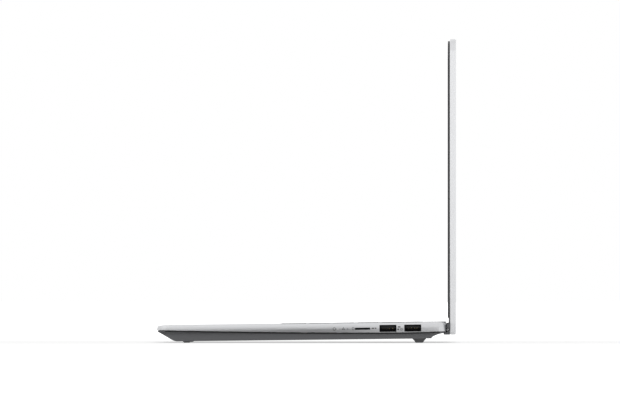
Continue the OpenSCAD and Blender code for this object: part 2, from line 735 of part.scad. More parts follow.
module cooling_fins() {
    w0 = pipe_top - spreader_t;
    base_t = 0.4;
    pitch = 2.06;
    color("darkgray") on_deck() {
        box([fan_x - 27, fins_v[0], w0], [fan_x + 27, fins_v[1], w0 + base_t]);
        for (i = [0:26]) translate([fan_x - 27 + i * pitch, fins_v[0], w0 + base_t - eps])
            cube([0.4, fins_v[1] - fins_v[0], fan_top - 0.3 - w0 - base_t]);
    }
}
module fan_housing() {
    color([0.1, 0.1, 0.11]) on_deck() {
        difference() {
            box([fan_x - 29, fan_v - 30, fan_bottom], [fan_x + 29, fins_v[0] - 0.4, fan_top]);
            translate([fan_x, fan_v, fan_bottom + fan_skin])
                cylinder(r = fan_r + 1.5, h = fan_top - fan_bottom - 2 * fan_skin);
            box([fan_x - fan_r - 1.5, fan_v, fan_bottom + fan_skin],
                [fan_x + fan_r + 1.5, fins_v[0] + 1, fan_top - fan_skin]);
            translate([fan_x, fan_v, fan_bottom - 1]) cylinder(r = 17, h = 1 + 2 * fan_skin);
        }
        translate([fan_x, fan_v, fan_top - fan_skin - 0.8]) cylinder(r = fan_pin_r, h = 0.81);
    }
}
fan_pin_r = 1;
fan_pin_clear = 0.06;
module fan_rotor() {
    // hub, a thin disc and the blades; the housing's stub runs in the hub's top
    blades = 23;
    hub_r = 9;
    color([0.16, 0.16, 0.17]) on_deck() translate([fan_x, fan_v, fan_bottom + 0.8]) difference() {
        union() {
            cylinder(r = hub_r, h = 3.3);
            translate([0, 0, 1]) difference() {
                cylinder(r = fan_r, h = 0.5);
                translate([0, 0, -1]) cylinder(r = hub_r - 1, h = 3);
            }
            for (i = [0:blades - 1]) rotate(i * 360 / blades) translate([hub_r - 0.5, -0.3, 0.2])
                cube([fan_r - hub_r - 0.5, 0.6, 2.8]);
        }
        translate([0, 0, 2.6]) cylinder(r = fan_pin_r + fan_pin_clear, h = 1);
    }
}
module solid_state_drive() {
    v = board_v[0] + 10;
    color([0.06, 0.15, 0.12]) on_deck() translate([board_x[0] + 12, v, board_bottom - 0.8]) {
        cube([42, 22, 0.8]);
        for (x = [3, 19]) translate([x, 2.5, -1.1]) cube([14, 17, 1.1 + eps]);
    }
}
module wireless_card() {
    color([0.75, 0.76, 0.78]) on_deck() translate([board_x[0] + 12, board_v[1] - 26, board_bottom - 1.6])
        cube([30, 22, 1.6]);
}

// --- ports and what stands beside them ---
side_board_top = -port_drop - port_h / 2 - port_wall;
side_board_x = fan_x + fan_r + 21;
module side_board() {
    color([0.05, 0.25, 0.18]) on_deck()
        box([side_board_x, light_at - 9, side_board_top - 0.8],
            [port_inner_x - 1.8, rear_port_at + port_w / 2 + 1.5, side_board_top]);
}
module full_size_port(v) {
    // metal shell round a mouth, with a tongue in the mouth's upper half
    tongue_t = 1.84;
    on_deck() translate([port_inner_x - port_depth, v, -port_drop]) {
        difference() {
            translate([0, -port_w / 2 - port_wall, -port_h / 2 - port_wall])
                cube([port_depth, port_w + 2 * port_wall, port_h + 2 * port_wall]);
            translate([1, -port_w / 2, -port_h / 2]) cube([port_depth, port_w, port_h]);
        }
        translate([1 - eps, -port_w / 2 + 0.7, 0.05]) cube([port_depth - 2, port_w - 1.4, tongue_t]);
    }
}
module front_full_size_port() { color([0.55, 0.56, 0.58]) full_size_port(front_port_at); }
module rear_full_size_port() { color([0.55, 0.56, 0.58]) full_size_port(rear_port_at); }
card_slot_h = 1.4;
card_body = [14, card_w + 2.4, 2.4];
module card_reader() {
    color([0.5, 0.5, 0.52]) on_deck() translate([port_inner_x, card_at, -port_drop]) {
        difference() {
            translate([-card_body[0], -card_body[1] / 2, -card_body[2] / 2]) cube(card_body);
            translate([-card_body[0] + 2, -card_w / 2, -card_slot_h / 2])
                cube([card_body[0], card_w, card_slot_h]);
        }
        for (s = [-1, 1]) translate([-12, s * (card_w / 2 + 0.4) - 0.5, side_board_top + port_drop])
            cube([6, 1, -side_board_top - port_drop - card_body[2] / 2 + eps]);
    }
}
module left_socket(v, size, tongue) {
    // metal shell with a rounded mouth and a tongue at its middle, in the left wall
    on_deck() translate([-port_inner_x, v, -port_drop]) {
        difference() {
            translate([0, -size[0] / 2 - port_wall, -size[1] / 2 - port_wall])
                cube([port_depth, size[0] + 2 * port_wall, size[1] + 2 * port_wall]);
            translate([-1, 0, 0]) rotate([90, 0, 90]) linear_extrude(port_depth)
                polygon(round_rect(size[0], size[1], size[1] * 0.28, 3));
        }
        translate([1.2, -tongue[0] / 2, -tongue[1] / 2]) cube([port_depth - 1.4, tongue[0], tongue[1]]);
    }
}
module video_port() {
    color([0.55, 0.56, 0.58]) left_socket(video_at, video_size, [11, 1.6]);
}
module charge_ports() {
    color([0.55, 0.56, 0.58]) for (v = charge_at) left_socket(v, charge_size, [6.6, 0.7]);
}
module audio_socket() {
    neck = side_wall - 0.3;
    color([0.08, 0.08, 0.09]) on_deck() translate([-port_inner_x, audio_at, -audio_drop]) difference() {
        union() {
            translate([0, -audio_body / 2, -2.4]) cube([audio_l + 1.6, audio_body, 4.8]);
            translate([-neck, 0, 0]) rotate([0, 90, 0]) cylinder(r = audio_r + 0.7, h = neck + 1);
        }
        translate([-side_wall - 1, 0, 0]) rotate([0, 90, 0]) cylinder(r = audio_r, h = side_wall + 1 + audio_l);
    }
}
light_r = 0.45;
module status_light() {
    color("white") on_deck() translate([port_inner_x - 4, light_at, -port_drop]) {
        rotate([0, 90, 0]) cylinder(r = light_r, h = 4 + side_wall - 0.05);
        translate([-1, -1, side_board_top + port_drop]) cube([2, 2, 1 - side_board_top - port_drop]);
    }
}
pad_cable_w = battery_w0 + battery_t + 0.1;
module flat_cables() {
    // ribbons from the mainboard to the side board, the battery and the touchpad
    board_lap = board_v[0] + 3;
    pad_v = board_v[0] - 7.6;
    color([0.75, 0.6, 0.35]) on_deck() {
        box([board_x[1] - 4, light_at - 7, side_board_top], [side_board_x + 4, light_at + 1.7, board_bottom]);
        box([-20, battery_v[1], board_top], [6, board_lap, board_top + 0.15]);
        translate([pad_x - 8, 0, 0]) {
            box([0, battery_v[1] - 12, pad_cable_w], [16, pad_v, pad_cable_w + 0.1]);
            box([0, pad_v - 0.1, board_top], [16, pad_v, pad_cable_w + 0.1]);
            box([0, pad_v - 0.1, board_top], [16, board_lap, board_top + 0.1]);
        }
    }
}
module bottom_screws() {
    color([0.2, 0.2, 0.2]) on_deck() for (p = screw_places) translate([p[0], p[1], belly_w(p[1]) + 0.1]) {
        difference() {
            union() {
                cylinder(r = head_r, h = head_t);
                cylinder(r = screw_r, h = 5.5);
            }
            translate([0, 0, -1]) cylinder(r = 0.8, h = 1.5, $fn = 6);
        }
    }
}

// --- hinges ---
ear_t = 2.4;
ear_x = barrel_from - ear_t - 2.2;
ear_r = hinge_drop - deck_skin - 0.02;
bracket_l = 26;
bracket_t = 1.2;
bracket_v = [axis_v - 13, axis_v - 4.2];
hinge_screw_x = [ear_x - 20, ear_x - 8];
hinge_screw_v = axis_v - 9;
small_head = [1.8, 0.8];
module small_screw(l) {
    // head first, pointing up
    cylinder(r = small_head[0], h = small_head[1]);
    cylinder(r = 1, h = small_head[1] + l);
}
module hinge_brackets() {
    color([0.35, 0.35, 0.37]) both_sides() on_deck() difference() {
        union() {
            box([ear_x - bracket_l, bracket_v[0], -deck_skin - bracket_t],
                [ear_x + ear_t, bracket_v[1], -deck_skin]);
            translate([ear_x, axis_v, -hinge_drop]) rotate([0, 90, 0]) cylinder(r = ear_r, h = ear_t);
            box([ear_x, bracket_v[1] - 0.1, -hinge_drop - ear_r], [ear_x + ear_t, axis_v, -deck_skin - 0.02]);
        }
        for (x = hinge_screw_x) translate([x, hinge_screw_v, -5]) cylinder(r = 1.1, h = 8);
        translate([ear_x - 1, axis_v, -hinge_drop]) rotate([0, 90, 0]) cylinder(r = pin_r, h = ear_t + 2);
    }
}
module hinge_pins() {
    color("silver") both_sides() translate([ear_x - 2, axis_y, axis_z]) rotate([0, 90, 0])
        cylinder(r = pin_r, h = arm_x[1] - ear_x + 1.9);
}
module hinge_screws() {
    color([0.2, 0.2, 0.2]) both_sides() on_deck() for (x = hinge_screw_x)
        translate([x, hinge_screw_v, -deck_skin - bracket_t - small_head[1]]) small_screw(bracket_t);
}
arm_x = [barrel_from + 1.5, barrel_from + 17.5];
arm_plate_l = 38;
arm_plate_t = 1.1;
arm_r = pin_r + 1.2;
arm_z = 1.1;
arm_back = lid_t - lid_skin;
arm_clear = 0.1;
lid_screw_x = [arm_x[0] + 22, arm_x[0] + 32];
lid_screw_z = axis_z + 5;
module hinge_arms() {
    // barrel on the pin, a flat arm to the lid and a plate on the lid's back
    y1 = lid_face_y + arm_back;
    color([0.35, 0.35, 0.37]) both_sides() difference() {
        union() {
            translate([arm_x[0], axis_y, axis_z]) rotate([0, 90, 0])
                cylinder(r = arm_r, h = arm_x[1] - arm_x[0]);
            box([arm_x[0], axis_y, axis_z - arm_z], [arm_x[1], y1, axis_z + arm_z]);
            box([arm_x[0], y1 - arm_plate_t, axis_z - 3.5], [arm_x[0] + arm_plate_l, y1, axis_z + 10.6]);
        }
        translate([arm_x[0] - 1, axis_y, axis_z]) rotate([0, 90, 0]) cylinder(r = pin_r + pin_clear, h = 30);
        for (x = lid_screw_x) translate([x, lid_face_y, lid_screw_z]) rotate([-90, 0, 0])
            cylinder(r = 1.1, h = 20);
    }
}
module lid_screws() {
    y = lid_face_y + arm_back - arm_plate_t - small_head[1];
    color([0.2, 0.2, 0.2]) both_sides() for (x = lid_screw_x)
        translate([x, y, lid_screw_z]) rotate([-90, 0, 0]) small_screw(arm_plate_t);
}
module arm_slot() {
    z = arm_z + arm_clear;
    box([arm_x[0] - arm_clear, axis_y, axis_z - z], [arm_x[1] + arm_clear, rim_y + 1, axis_z + z]);
}
module cable_slot() {
    // way through barrel and strip for the display's cable
    x = barrel_from + barrel_l * 2 / 3;
    box([x - 1.5, axis_y, axis_z - 1], [x + 1.5, rim_y + 1, axis_z + 1]);
}
module hinge_barrels() {
    color([0.1, 0.1, 0.11]) both_sides() difference() {
        union() {
            translate([barrel_from, axis_y, axis_z]) rotate([0, 90, 0]) cylinder(r = barrel_r, h = barrel_l);
            box([barrel_from, axis_y, axis_z - barrel_r / 2],
                [barrel_from + barrel_l, lid_face_y + strip_back, axis_z + barrel_r / 2]);
        }
        translate([barrel_from - 1, axis_y, axis_z]) rotate([0, 90, 0])
            cylinder(r = arm_r + arm_clear, h = barrel_l + 2);
        arm_slot();
        cable_slot();
    }
}

// --- display cable, in two lengths that meet on the hinge axis ---
cable_r = 0.7;
cable_bend_x = -(barrel_from + barrel_l + 3.5);
cable_from_x = 28.5 - barrel_from;
module rod(a, b) {
    d = b - a;
    translate(a) rotate([0, acos(d[2] / norm(d)), atan2(d[1], d[0])])
        cylinder(r = cable_r, h = norm(d), $fn = 24);
}
module route(points) {
    for (i = [1:len(points) - 1]) rod(points[i - 1], points[i]);
    for (i = [1:len(points) - 2]) translate(points[i]) sphere(r = cable_r * 1.06, $fn = 24);
}
module base_display_cable() {
    cable_w = board_top + cable_r + 0.05;
    a = deck_pt(axis_v - 10.4, cable_w);
    b = deck_pt(board_v[1] - 1, cable_w);
    color([0.1, 0.1, 0.1]) {
        route([[cable_from_x, b[0], b[1]], [cable_from_x, a[0], a[1]], [cable_bend_x, a[0], a[1]],
            [cable_bend_x, axis_y, axis_z], [cable_bend_x + 3.3, axis_y, axis_z]]);
        on_deck() translate([cable_from_x - 4, board_v[1] - 4, board_top]) cube([8, 3.5, 1.2]);
    }
}
module lid_display_cable() {
    x = -(barrel_from + barrel_l * 2 / 3);
    y = lid_face_y + 2.8;
    z = panel_z0 - cable_r - 0.5;
    color([0.1, 0.1, 0.1]) {
        route([[cable_bend_x + 3.5, axis_y, axis_z], [x, axis_y, axis_z], [x, y, axis_z], [x, y, z],
            [-20, y, z]]);
        box([-22, lid_face_y + 1.6, z - 1], [-12, lid_face_y + 3.6, panel_z0]);
    }
}

// --- lid ---
screen_w = case_w - 2 * screen_side;
screen_z1 = lid_top_z - screen_top;
screen_z0 = lid_bottom_z + screen_foot;
panel_z0 = screen_z0 - 4.4;
panel_z1 = screen_z1 + 2.6;
panel_t = 2.4;
deck_corner_r = norm([y_rear - axis_y, rear_z - axis_z]);
strip_back = deck_corner_r + 0.15 - face_out;      // the strip passes the deck's rear edge
hook_reach = strip_back + 3.1;
cove = 2;                                          // hollow fillet between the strip and its hook
strip_top_z = lid_bottom_z + strip_h;
glass_front = 0.6;
glass_t = 0.7;
glass_lap = 1.1;                                   // how far the glass laps behind the bezel
edge_soft = 0.9;
module lid_cover() {
    soft = 0.7 * edge_soft;
    inner_w = case_w - 2 * lid_rim;
    inner_r = lid_corner_r - lid_rim;
    color("silver") difference() {
        hull() {
            lid_plate(case_w, lid_bottom_z, lid_top_z, lid_corner_r, bezel_t, lid_t - edge_soft);
            lid_plate(case_w - 2 * soft, lid_bottom_z + soft, lid_top_z - soft, lid_corner_r - soft,
                bezel_t, lid_t);
        }
        lid_plate(inner_w, strip_top_z, lid_top_z - lid_rim, inner_r, -1, lid_t - lid_skin);
        lid_plate(2 * strip_half, lid_bottom_z + lid_rim, strip_top_z + 20, 1, -1, lid_t - lid_skin);
    }
}
lens_x = -2.7;
lens_r = 1.6;
camera_z = (screen_z1 + lid_top_z - bezel_in) / 2;
shutter_room = [11.6, 3.4, 0.7];                   // the shutter's recess in the bezel
module display_bezel() {
    outer_w = case_w - 2 * bezel_in;
    lap = glass_lap + 0.2;
    color([0.05, 0.05, 0.055]) difference() {
        lid_plate(outer_w, strip_top_z + 0.1, lid_top_z - bezel_in, lid_corner_r - bezel_in, 0, bezel_t);
        lid_plate(screen_w, screen_z0, screen_z1, 0.5, -1, bezel_t + 1);
        lid_plate(screen_w + 2 * lap, screen_z0 - lap, screen_z1 + lap, 0.5, glass_front, bezel_t + 1);
        lid_plate(shutter_room[0], camera_z - shutter_room[1] / 2, camera_z + shutter_room[1] / 2, 1.5,
            -1, shutter_room[2]);
        translate([lens_x, lid_face_y - 1, camera_z]) rotate([-90, 0, 0]) cylinder(r = lens_r + 0.1, h = 5);
    }
}
module display_glass() {
    color([0.02, 0.02, 0.025])
        lid_plate(screen_w + 2 * glass_lap, screen_z0 - glass_lap, screen_z1 + glass_lap, 0.3,
            glass_front, glass_front + glass_t);
}
module display_panel() {
    color("darkgray") lid_plate(screen_w + 3, panel_z0, panel_z1, 1, bezel_t, bezel_t + panel_t);
}
module hinge_strip() {
    y0 = lid_face_y + strip_back;
    color([0.4, 0.41, 0.43]) difference() {
        union() {
            box([-strip_half, y0, lid_bottom_z], [strip_half, rim_y, strip_top_z]);
            box([-strip_half, y0 - hook_reach, lid_bottom_z], [strip_half, y0 + eps, lid_bottom_z + hook_t]);
            difference() {
                box([-strip_half, y0 - cove, lid_bottom_z + 0.3],
                    [strip_half, y0 + eps, lid_bottom_z + hook_t + cove]);
                translate([-strip_half - 1, axis_y, axis_z]) rotate([0, 90, 0])
                    cylinder(r = roof_r + 0.3, h = 2 * strip_half + 2);
            }
        }
        both_sides() arm_slot();
        both_sides() cable_slot();
    }
}
module camera_board() {
    color([0.05, 0.25, 0.18])
        lid_plate(62, panel_z1 + 0.2, lid_top_z - lid_rim - 0.3, 0.5, bezel_t, bezel_t + 0.8);
}
module camera_lens() {
    front = shutter_room[2] + 0.05;
    color([0.02, 0.02, 0.04]) translate([lens_x, lid_face_y + front, camera_z]) rotate([-90, 0, 0])
        cylinder(r = lens_r, h = bezel_t - front);
}
module camera_shutter() {
    // a small plate in the bezel's recess, with a ridge for the finger nail
    color([0.3, 0.3, 0.32]) translate([3, 0, 0]) {
        lid_plate(5.2, camera_z - 1.5, camera_z + 1.5, 1.2, 0.12, 0.62);
        lid_plate(1, camera_z - 1, camera_z + 1, 0.3, 0.03, 0.13);
    }
}

top_case();
bottom_cover();
front_feet();
rear_foot();
keyboard_grid();
keyboard_membrane();
keyboard_plate();
touchpad_bracket();
battery_frame();
battery_cells();
speakers();
mainboard();
processor();
memory_chips();
heat_pipe();
cooling_fins();
fan_housing();
fan_rotor();
solid_state_drive();
wireless_card();
side_board();
front_full_size_port();
rear_full_size_port();
card_reader();
video_port();
charge_ports();
audio_socket();
status_light();
flat_cables();
bottom_screws();
hinge_brackets();
hinge_pins();
hinge_screws();
hinge_arms();
lid_screws();
hinge_barrels();
base_display_cable();
lid_display_cable();
lid_cover();
display_bezel();
display_glass();
display_panel();
hinge_strip();
camera_board();
camera_lens();
camera_shutter();
touchpad();
power_button();
function_keys();
number_keys();
backspace_key();
upper_letter_keys();
home_letter_keys();
enter_key();
left_shift_key();
lower_letter_keys();
right_shift_key();
modifier_keys();
space_bar();
arrow_keys();
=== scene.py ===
# %% [markdown]
# # A slim silver laptop, standing open at a right angle
# The solid model of the laptop is finished before this lesson starts: sixty named solids that
# sit on moving bodies. Here they get their looks. Some solids only need a good finish, and some
# get a finer copy of themselves, with soft edges, printed characters and other small things
# that are easier to make in Blender than in a solid modeller.

# %% Load the solid model
import json
import math

import bmesh
import bpy
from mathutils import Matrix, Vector

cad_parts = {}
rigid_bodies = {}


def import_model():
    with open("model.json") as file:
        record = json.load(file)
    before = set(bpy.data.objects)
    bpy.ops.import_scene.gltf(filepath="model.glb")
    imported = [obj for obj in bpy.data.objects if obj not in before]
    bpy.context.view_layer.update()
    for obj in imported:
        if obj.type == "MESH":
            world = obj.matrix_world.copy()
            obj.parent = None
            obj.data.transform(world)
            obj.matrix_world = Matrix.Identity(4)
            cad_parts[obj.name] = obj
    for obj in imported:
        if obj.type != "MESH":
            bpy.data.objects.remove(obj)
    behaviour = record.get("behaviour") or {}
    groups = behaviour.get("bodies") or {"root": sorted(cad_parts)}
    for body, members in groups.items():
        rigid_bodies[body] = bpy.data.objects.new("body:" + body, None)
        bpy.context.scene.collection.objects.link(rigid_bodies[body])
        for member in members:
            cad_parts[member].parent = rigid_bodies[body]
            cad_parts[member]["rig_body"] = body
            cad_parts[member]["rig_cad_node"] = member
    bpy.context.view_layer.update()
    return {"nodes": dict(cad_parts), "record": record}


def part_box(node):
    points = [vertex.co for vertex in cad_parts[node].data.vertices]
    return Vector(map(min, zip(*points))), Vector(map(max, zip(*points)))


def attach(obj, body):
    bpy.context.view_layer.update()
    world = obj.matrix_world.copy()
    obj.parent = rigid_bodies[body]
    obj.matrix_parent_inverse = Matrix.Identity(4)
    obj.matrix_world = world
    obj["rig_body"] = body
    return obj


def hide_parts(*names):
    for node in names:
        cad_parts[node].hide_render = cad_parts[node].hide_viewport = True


for leftover in list(bpy.data.objects):
    bpy.data.objects.remove(leftover)
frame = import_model()

# %% [markdown]
# ## Measures
# Everything is in metres, with the desk at height zero, the lid at the rear (+Y) and the
# laptop's right side towards +X. The deck, which is the top of the base, rises a little
# towards the rear. So it gets directions of its own: across, back along the deck, and up
# from it. One helper turns such a place into a point of the scene, and another measures how
# far a point lies above the deck. A hair's breadth serves wherever two places should be equal,
# and as the height of printed ink.

# %% Name the measures that the pieces share
MM = 0.001
HAIR = 0.02 * MM
DECK_TILT = math.radians(0.7668)
DECK_FRONT_HEIGHT = 12.8 * MM
case_low, case_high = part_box("top_case")
lid_low, lid_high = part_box("lid_cover")
wall_x = case_high.x
rear_corner_y = case_high.y - 12 * MM


def deck_point(across, back, up=0.0):
    """A place on the deck, in millimetres from its middle, its front lip and its surface."""
    sine, cosine = math.sin(DECK_TILT), math.cos(DECK_TILT)
    return Vector((across * MM,
                   case_low.y + (back * cosine - up * sine) * MM,
                   DECK_FRONT_HEIGHT + (back * sine + up * cosine) * MM))


deck_up = deck_point(0, 0, 1) - deck_point(0, 0)
deck_up.normalize()


def over_deck(point, level=0.0):
    """How far a point lies above the deck, or above a level given in millimetres from it."""
    return (point - deck_point(0, 0, level)).dot(deck_up)


print("case width:", round((case_high.x - case_low.x) / MM, 1), "mm")

# %% [markdown]
# ## The camera
# A laptop seen exactly from its side is a thin wedge and a thin upright bar. A long lens from
# far away shows it so, because a near camera would also show the keyboard and the lid's face.
# The camera stands beside the hinge, a little above the deck. It is turned by a fraction of a
# degree, forwards and up, to bring the whole laptop into the frame. The lens and the sensor are
# in millimetres, as on a real camera, and the distance follows from the width to be seen.

# %% Place the camera
LENS = 1060
SENSOR = 36
VIEW_WIDTH = 463.2 * MM
STAND = (95 * MM, 44 * MM)
AIM = (2.7 * MM, 106.75 * MM)
distance = VIEW_WIDTH * LENS / SENSOR
camera_data = bpy.data.cameras.new("camera")
camera = bpy.data.objects.new("camera", camera_data)
bpy.context.scene.collection.objects.link(camera)
camera_data.lens = LENS
camera_data.sensor_width = SENSOR
camera.location = (wall_x + distance, *STAND)
camera.rotation_euler = (Vector((wall_x, *AIM)) - camera.location).to_track_quat(
    "-Z", "Y").to_euler()
camera_data.clip_start = distance * 0.1
camera_data.clip_end = distance * 10
bpy.context.scene.camera = camera
print("camera distance:", round(distance, 2), "m")

# %% [markdown]
# ## Shader maths
# A finish is a small network of nodes. Drawn by hand it is a drawing, and written out it soon
# becomes a long list of links. A small class that wraps an output socket lets the maths be
# written as sums, and one method of a second class makes every other kind of node.


# %% A socket that can be used in a sum
class Flow:
    """An output socket of a node. Sums on it add the Math nodes that work them out."""

    def __init__(self, recipe, socket):
        self.recipe = recipe
        self.socket = socket

    def maths(self, operation, *values):
        return self.recipe.node("ShaderNodeMath", {"operation": operation},
                                dict(enumerate(values)))

    def __add__(self, other):
        return self.maths("ADD", self, other)

    def __rsub__(self, other):
        return self.maths("SUBTRACT", other, self)

    def __mul__(self, other):
        return self.maths("MULTIPLY", self, other)

    def __lt__(self, other):
        return self.maths("LESS_THAN", self, other)

    def __abs__(self):
        return self.maths("ABSOLUTE", self)

    __radd__ = __add__
    __rmul__ = __mul__


# %% A recipe that holds the nodes of one finish
class Recipe:
    """The node tree of a material or a world."""

    def __init__(self, owner):
        owner.use_nodes = True
        self.tree = owner.node_tree
        self.tree.nodes.clear()

    def fill(self, socket, value):
        if isinstance(value, Flow):
            self.tree.links.new(value.socket, socket)
        elif socket.type == "RGBA" and not hasattr(value, "__len__"):
            socket.default_value = (value, value, value, 1)
        elif socket.type == "RGBA" and len(value) == 3:
            socket.default_value = (*value, 1)
        else:
            socket.default_value = value

    def node(self, kind, settings=None, sockets=None, output=0):
        """Adds a node: first its settings, then the values or links of its sockets."""
        made = self.tree.nodes.new(kind)
        for name, value in (settings or {}).items():
            setattr(made, name, value)
        for name, value in (sockets or {}).items():
            self.fill(made.inputs[name], value)
        return Flow(self, made.outputs[output]) if len(made.outputs) else made

    def place(self):
        """Where on the piece a point lies, in metres."""
        return self.node("ShaderNodeTexCoord", output="Object")

    def across(self):
        """How far the point lies to the right of the laptop's middle, in metres."""
        return self.node("ShaderNodeSeparateXYZ", None, {"Vector": self.place()}, output="X")

    def grain(self, size, detail=2.0):
        """Smooth random shades between 0 and 1, whose patches are about size across."""
        return self.node("ShaderNodeTexNoise", None,
                         {"Vector": self.place(), "Scale": 1 / size, "Detail": detail})

    def blend(self, mask, first, second):
        """One colour where the mask is 0, and another where it is 1."""
        return self.node("ShaderNodeMix", {"data_type": "RGBA"},
                         {"Factor": mask, 6: first, 7: second}, output=2)

    def tinted(self, colour, shade):
        """A colour that a shade makes darker or paler."""
        return self.node("ShaderNodeVectorMath", {"operation": "SCALE"},
                         {0: colour, "Scale": shade})

    def bumps(self, height, depth):
        """A normal that makes heights from 0 to 1 look depth deep."""
        return self.node("ShaderNodeBump", None,
                         {"Height": height, "Distance": depth, "Strength": 1.0})

    def surface(self, **values):
        """Ends the recipe in a Principled shader with these values or links."""
        shader = self.node("ShaderNodeBsdfPrincipled", None,
                           {name.replace("_", " "): value for name, value in values.items()})
        self.node("ShaderNodeOutputMaterial", None, {"Surface": shader})


def new_finish(name):
    material = bpy.data.materials.new(name)
    return material, Recipe(material)


# %% [markdown]
# ## The studio
# The desk and the room are plain and nearly white. What the camera and the shiny surfaces see
# of the room is pure white, and the light that falls on the laptop is a little lower, so pale
# aluminium doesn't burn out. Far from the laptop the floor glows a little, so that it ends in
# the same white as the room, while near the laptop it still takes the shadow.

# %% Light the room
WHITE = (1, 1, 1)
ROOM_LIGHT = 0.62
room = bpy.data.worlds.new("room")
bpy.context.scene.world = room
recipe = Recipe(room)
seen = 0
for ray in ("Is Camera Ray", "Is Glossy Ray", "Is Transmission Ray"):
    seen = seen + recipe.node("ShaderNodeLightPath", output=ray)
light_part = recipe.node("ShaderNodeBackground", None, {"Color": WHITE, "Strength": ROOM_LIGHT})
white_part = recipe.node("ShaderNodeBackground", None, {"Color": WHITE, "Strength": 1.0})
mixed = recipe.node("ShaderNodeMixShader", None, {0: seen, 1: light_part, 2: white_part})
recipe.node("ShaderNodeOutputWorld", None, {"Surface": mixed})
bpy.context.scene.view_settings.view_transform = "Standard"
print("room light:", ROOM_LIGHT)

# %% Lay the floor
FLOOR_SIZE = 60
FLOOR_SHADE = 0.76
GLOW = {"From Min": 0.25, "From Max": 1.6, "To Min": 0.46, "To Max": 1.0}
bpy.ops.object.select_all(action="DESELECT")
bpy.ops.mesh.primitive_plane_add(size=FLOOR_SIZE, location=(0, 0, -HAIR))
floor = bpy.context.object
floor.name = "floor"
floor_finish, recipe = new_finish("white_floor")
far = recipe.node("ShaderNodeVectorMath", {"operation": "LENGTH"}, {0: recipe.place()}, output=1)
glow = recipe.node("ShaderNodeMapRange", {"interpolation_type": "SMOOTHSTEP"},
                   {"Value": far, **GLOW})
matt = recipe.node("ShaderNodeBsdfDiffuse", None, {"Color": FLOOR_SHADE})
lit = recipe.node("ShaderNodeEmission", None, {"Color": WHITE, "Strength": glow})
both = recipe.node("ShaderNodeAddShader", None, {0: matt, 1: lit})
recipe.node("ShaderNodeOutputMaterial", None, {"Surface": both})
floor.data.materials.append(floor_finish)
print("floor:", FLOOR_SIZE, "m across")

# %% Hang three soft lamps
LIT_SPOT = Vector((0, 0, 0.05))
LAMPS = {  # place, size and power
    "key_lamp": ((1.5, -1.2, 1.6), 2.2, 3.5),
    "fill_lamp": ((-1.6, -0.9, 1.3), 2.2, 2.5),
    "rear_lamp": ((0.2, 1.8, 1.7), 2.0, 1.2),
}
for name, (spot, size, power) in LAMPS.items():
    lamp_data = bpy.data.lights.new(name, "AREA")
    lamp_data.size = size
    lamp_data.energy = power
    lamp = bpy.data.objects.new(name, lamp_data)
    bpy.context.scene.collection.objects.link(lamp)
    lamp.location = spot
    lamp.rotation_euler = (LIT_SPOT - lamp.location).to_track_quat("-Z", "Y").to_euler()
print("lamps:", len(LAMPS))

# %% [markdown]
# ## Grey cards beside the laptop
# Pale metal in a white room has no outline. A product photographer lays grey cards next to it,
# out of the picture, so that the walls mirror them and turn darker below their crown. Here
# three cards lie on each side: a long one beside the wall, a broad one further out, and one
# before the front edge. They end short of the lid, whose edge stays pale. Only shiny rays meet
# them: the camera doesn't, and they neither light nor shade anything.

# %% Lay the cards
CARD_GREY = 0.03
CARD_HEIGHT = 0.1 * MM
card_finish, recipe = new_finish("card_grey")
dim = recipe.node("ShaderNodeEmission", None, {"Color": WHITE, "Strength": CARD_GREY})
recipe.node("ShaderNodeOutputMaterial", None, {"Surface": dim})
# The middle across and along, and the width and length, in millimetres.
CARDS = ((183, -22, 50, 246), (294, -85, 172, 250), (87, -165, 214, 96))
for side in (-1, 1):
    for number, (across, along, wide, long) in enumerate(CARDS):
        bpy.ops.object.select_all(action="DESELECT")
        bpy.ops.mesh.primitive_plane_add(size=1, location=(side * across * MM, along * MM,
                                                           CARD_HEIGHT))
        card = bpy.context.object
        card.name = "card_%d_%d" % (side + 2, number)
        card.scale = (wide * MM, long * MM, 1)
        bpy.ops.object.transform_apply()
        card.data.materials.append(card_finish)
        for ray in ("camera", "diffuse", "transmission", "volume_scatter", "shadow"):
            setattr(card, "visible_" + ray, False)
print("cards:", 2 * len(CARDS))

# %% [markdown]
# ## Blasted, anodised aluminium
# The covers are milled or pressed from aluminium, blasted with fine beads and anodised. Close
# up that is a surface of tiny pits, which makes the shine broad and soft. It could be done with
# a high roughness alone, but a fine bump and slow changes of shade keep large faces alive.


# %% Make the aluminium finishes
def blasted_aluminium(name, colour, roughness, pit_depth=0.004 * MM):
    """Metal with pits of a quarter millimetre and slow clouds a few centimetres across."""
    material, recipe = new_finish(name)
    cloudy = recipe.grain(60 * MM)
    fine = recipe.grain(0.28 * MM, 1.0)
    recipe.surface(Base_Color=recipe.tinted(colour, 0.955 + 0.05 * cloudy + 0.04 * fine),
                   Metallic=1.0, Roughness=roughness - 0.03 + 0.06 * cloudy,
                   Normal=recipe.bumps(fine, pit_depth))
    return material


silver = blasted_aluminium("silver_aluminium", (0.65, 0.655, 0.668), 0.34)
lid_silver = blasted_aluminium("lid_aluminium", (0.69, 0.694, 0.706), 0.36)
# The bottom cover's finish is this silver painted much darker, as painted shade on the underside
# that faces down.
silver_in_painted_shade = blasted_aluminium("dark_aluminium", (0.165, 0.167, 0.173), 0.5)
polished = blasted_aluminium("polished_chamfer", (0.97, 0.975, 0.985), 0.12, 0.0005 * MM)
print("materials so far:", len(bpy.data.materials))

# %% [markdown]
# ## Plastics, rubber and glass
# Moulded plastic has a fine, even texture that depends on its tool. Key caps are the finest,
# feet are matt rubber, and the bezel is satin. The screen is a smooth sheet of glass over a
# dark panel that is switched off.


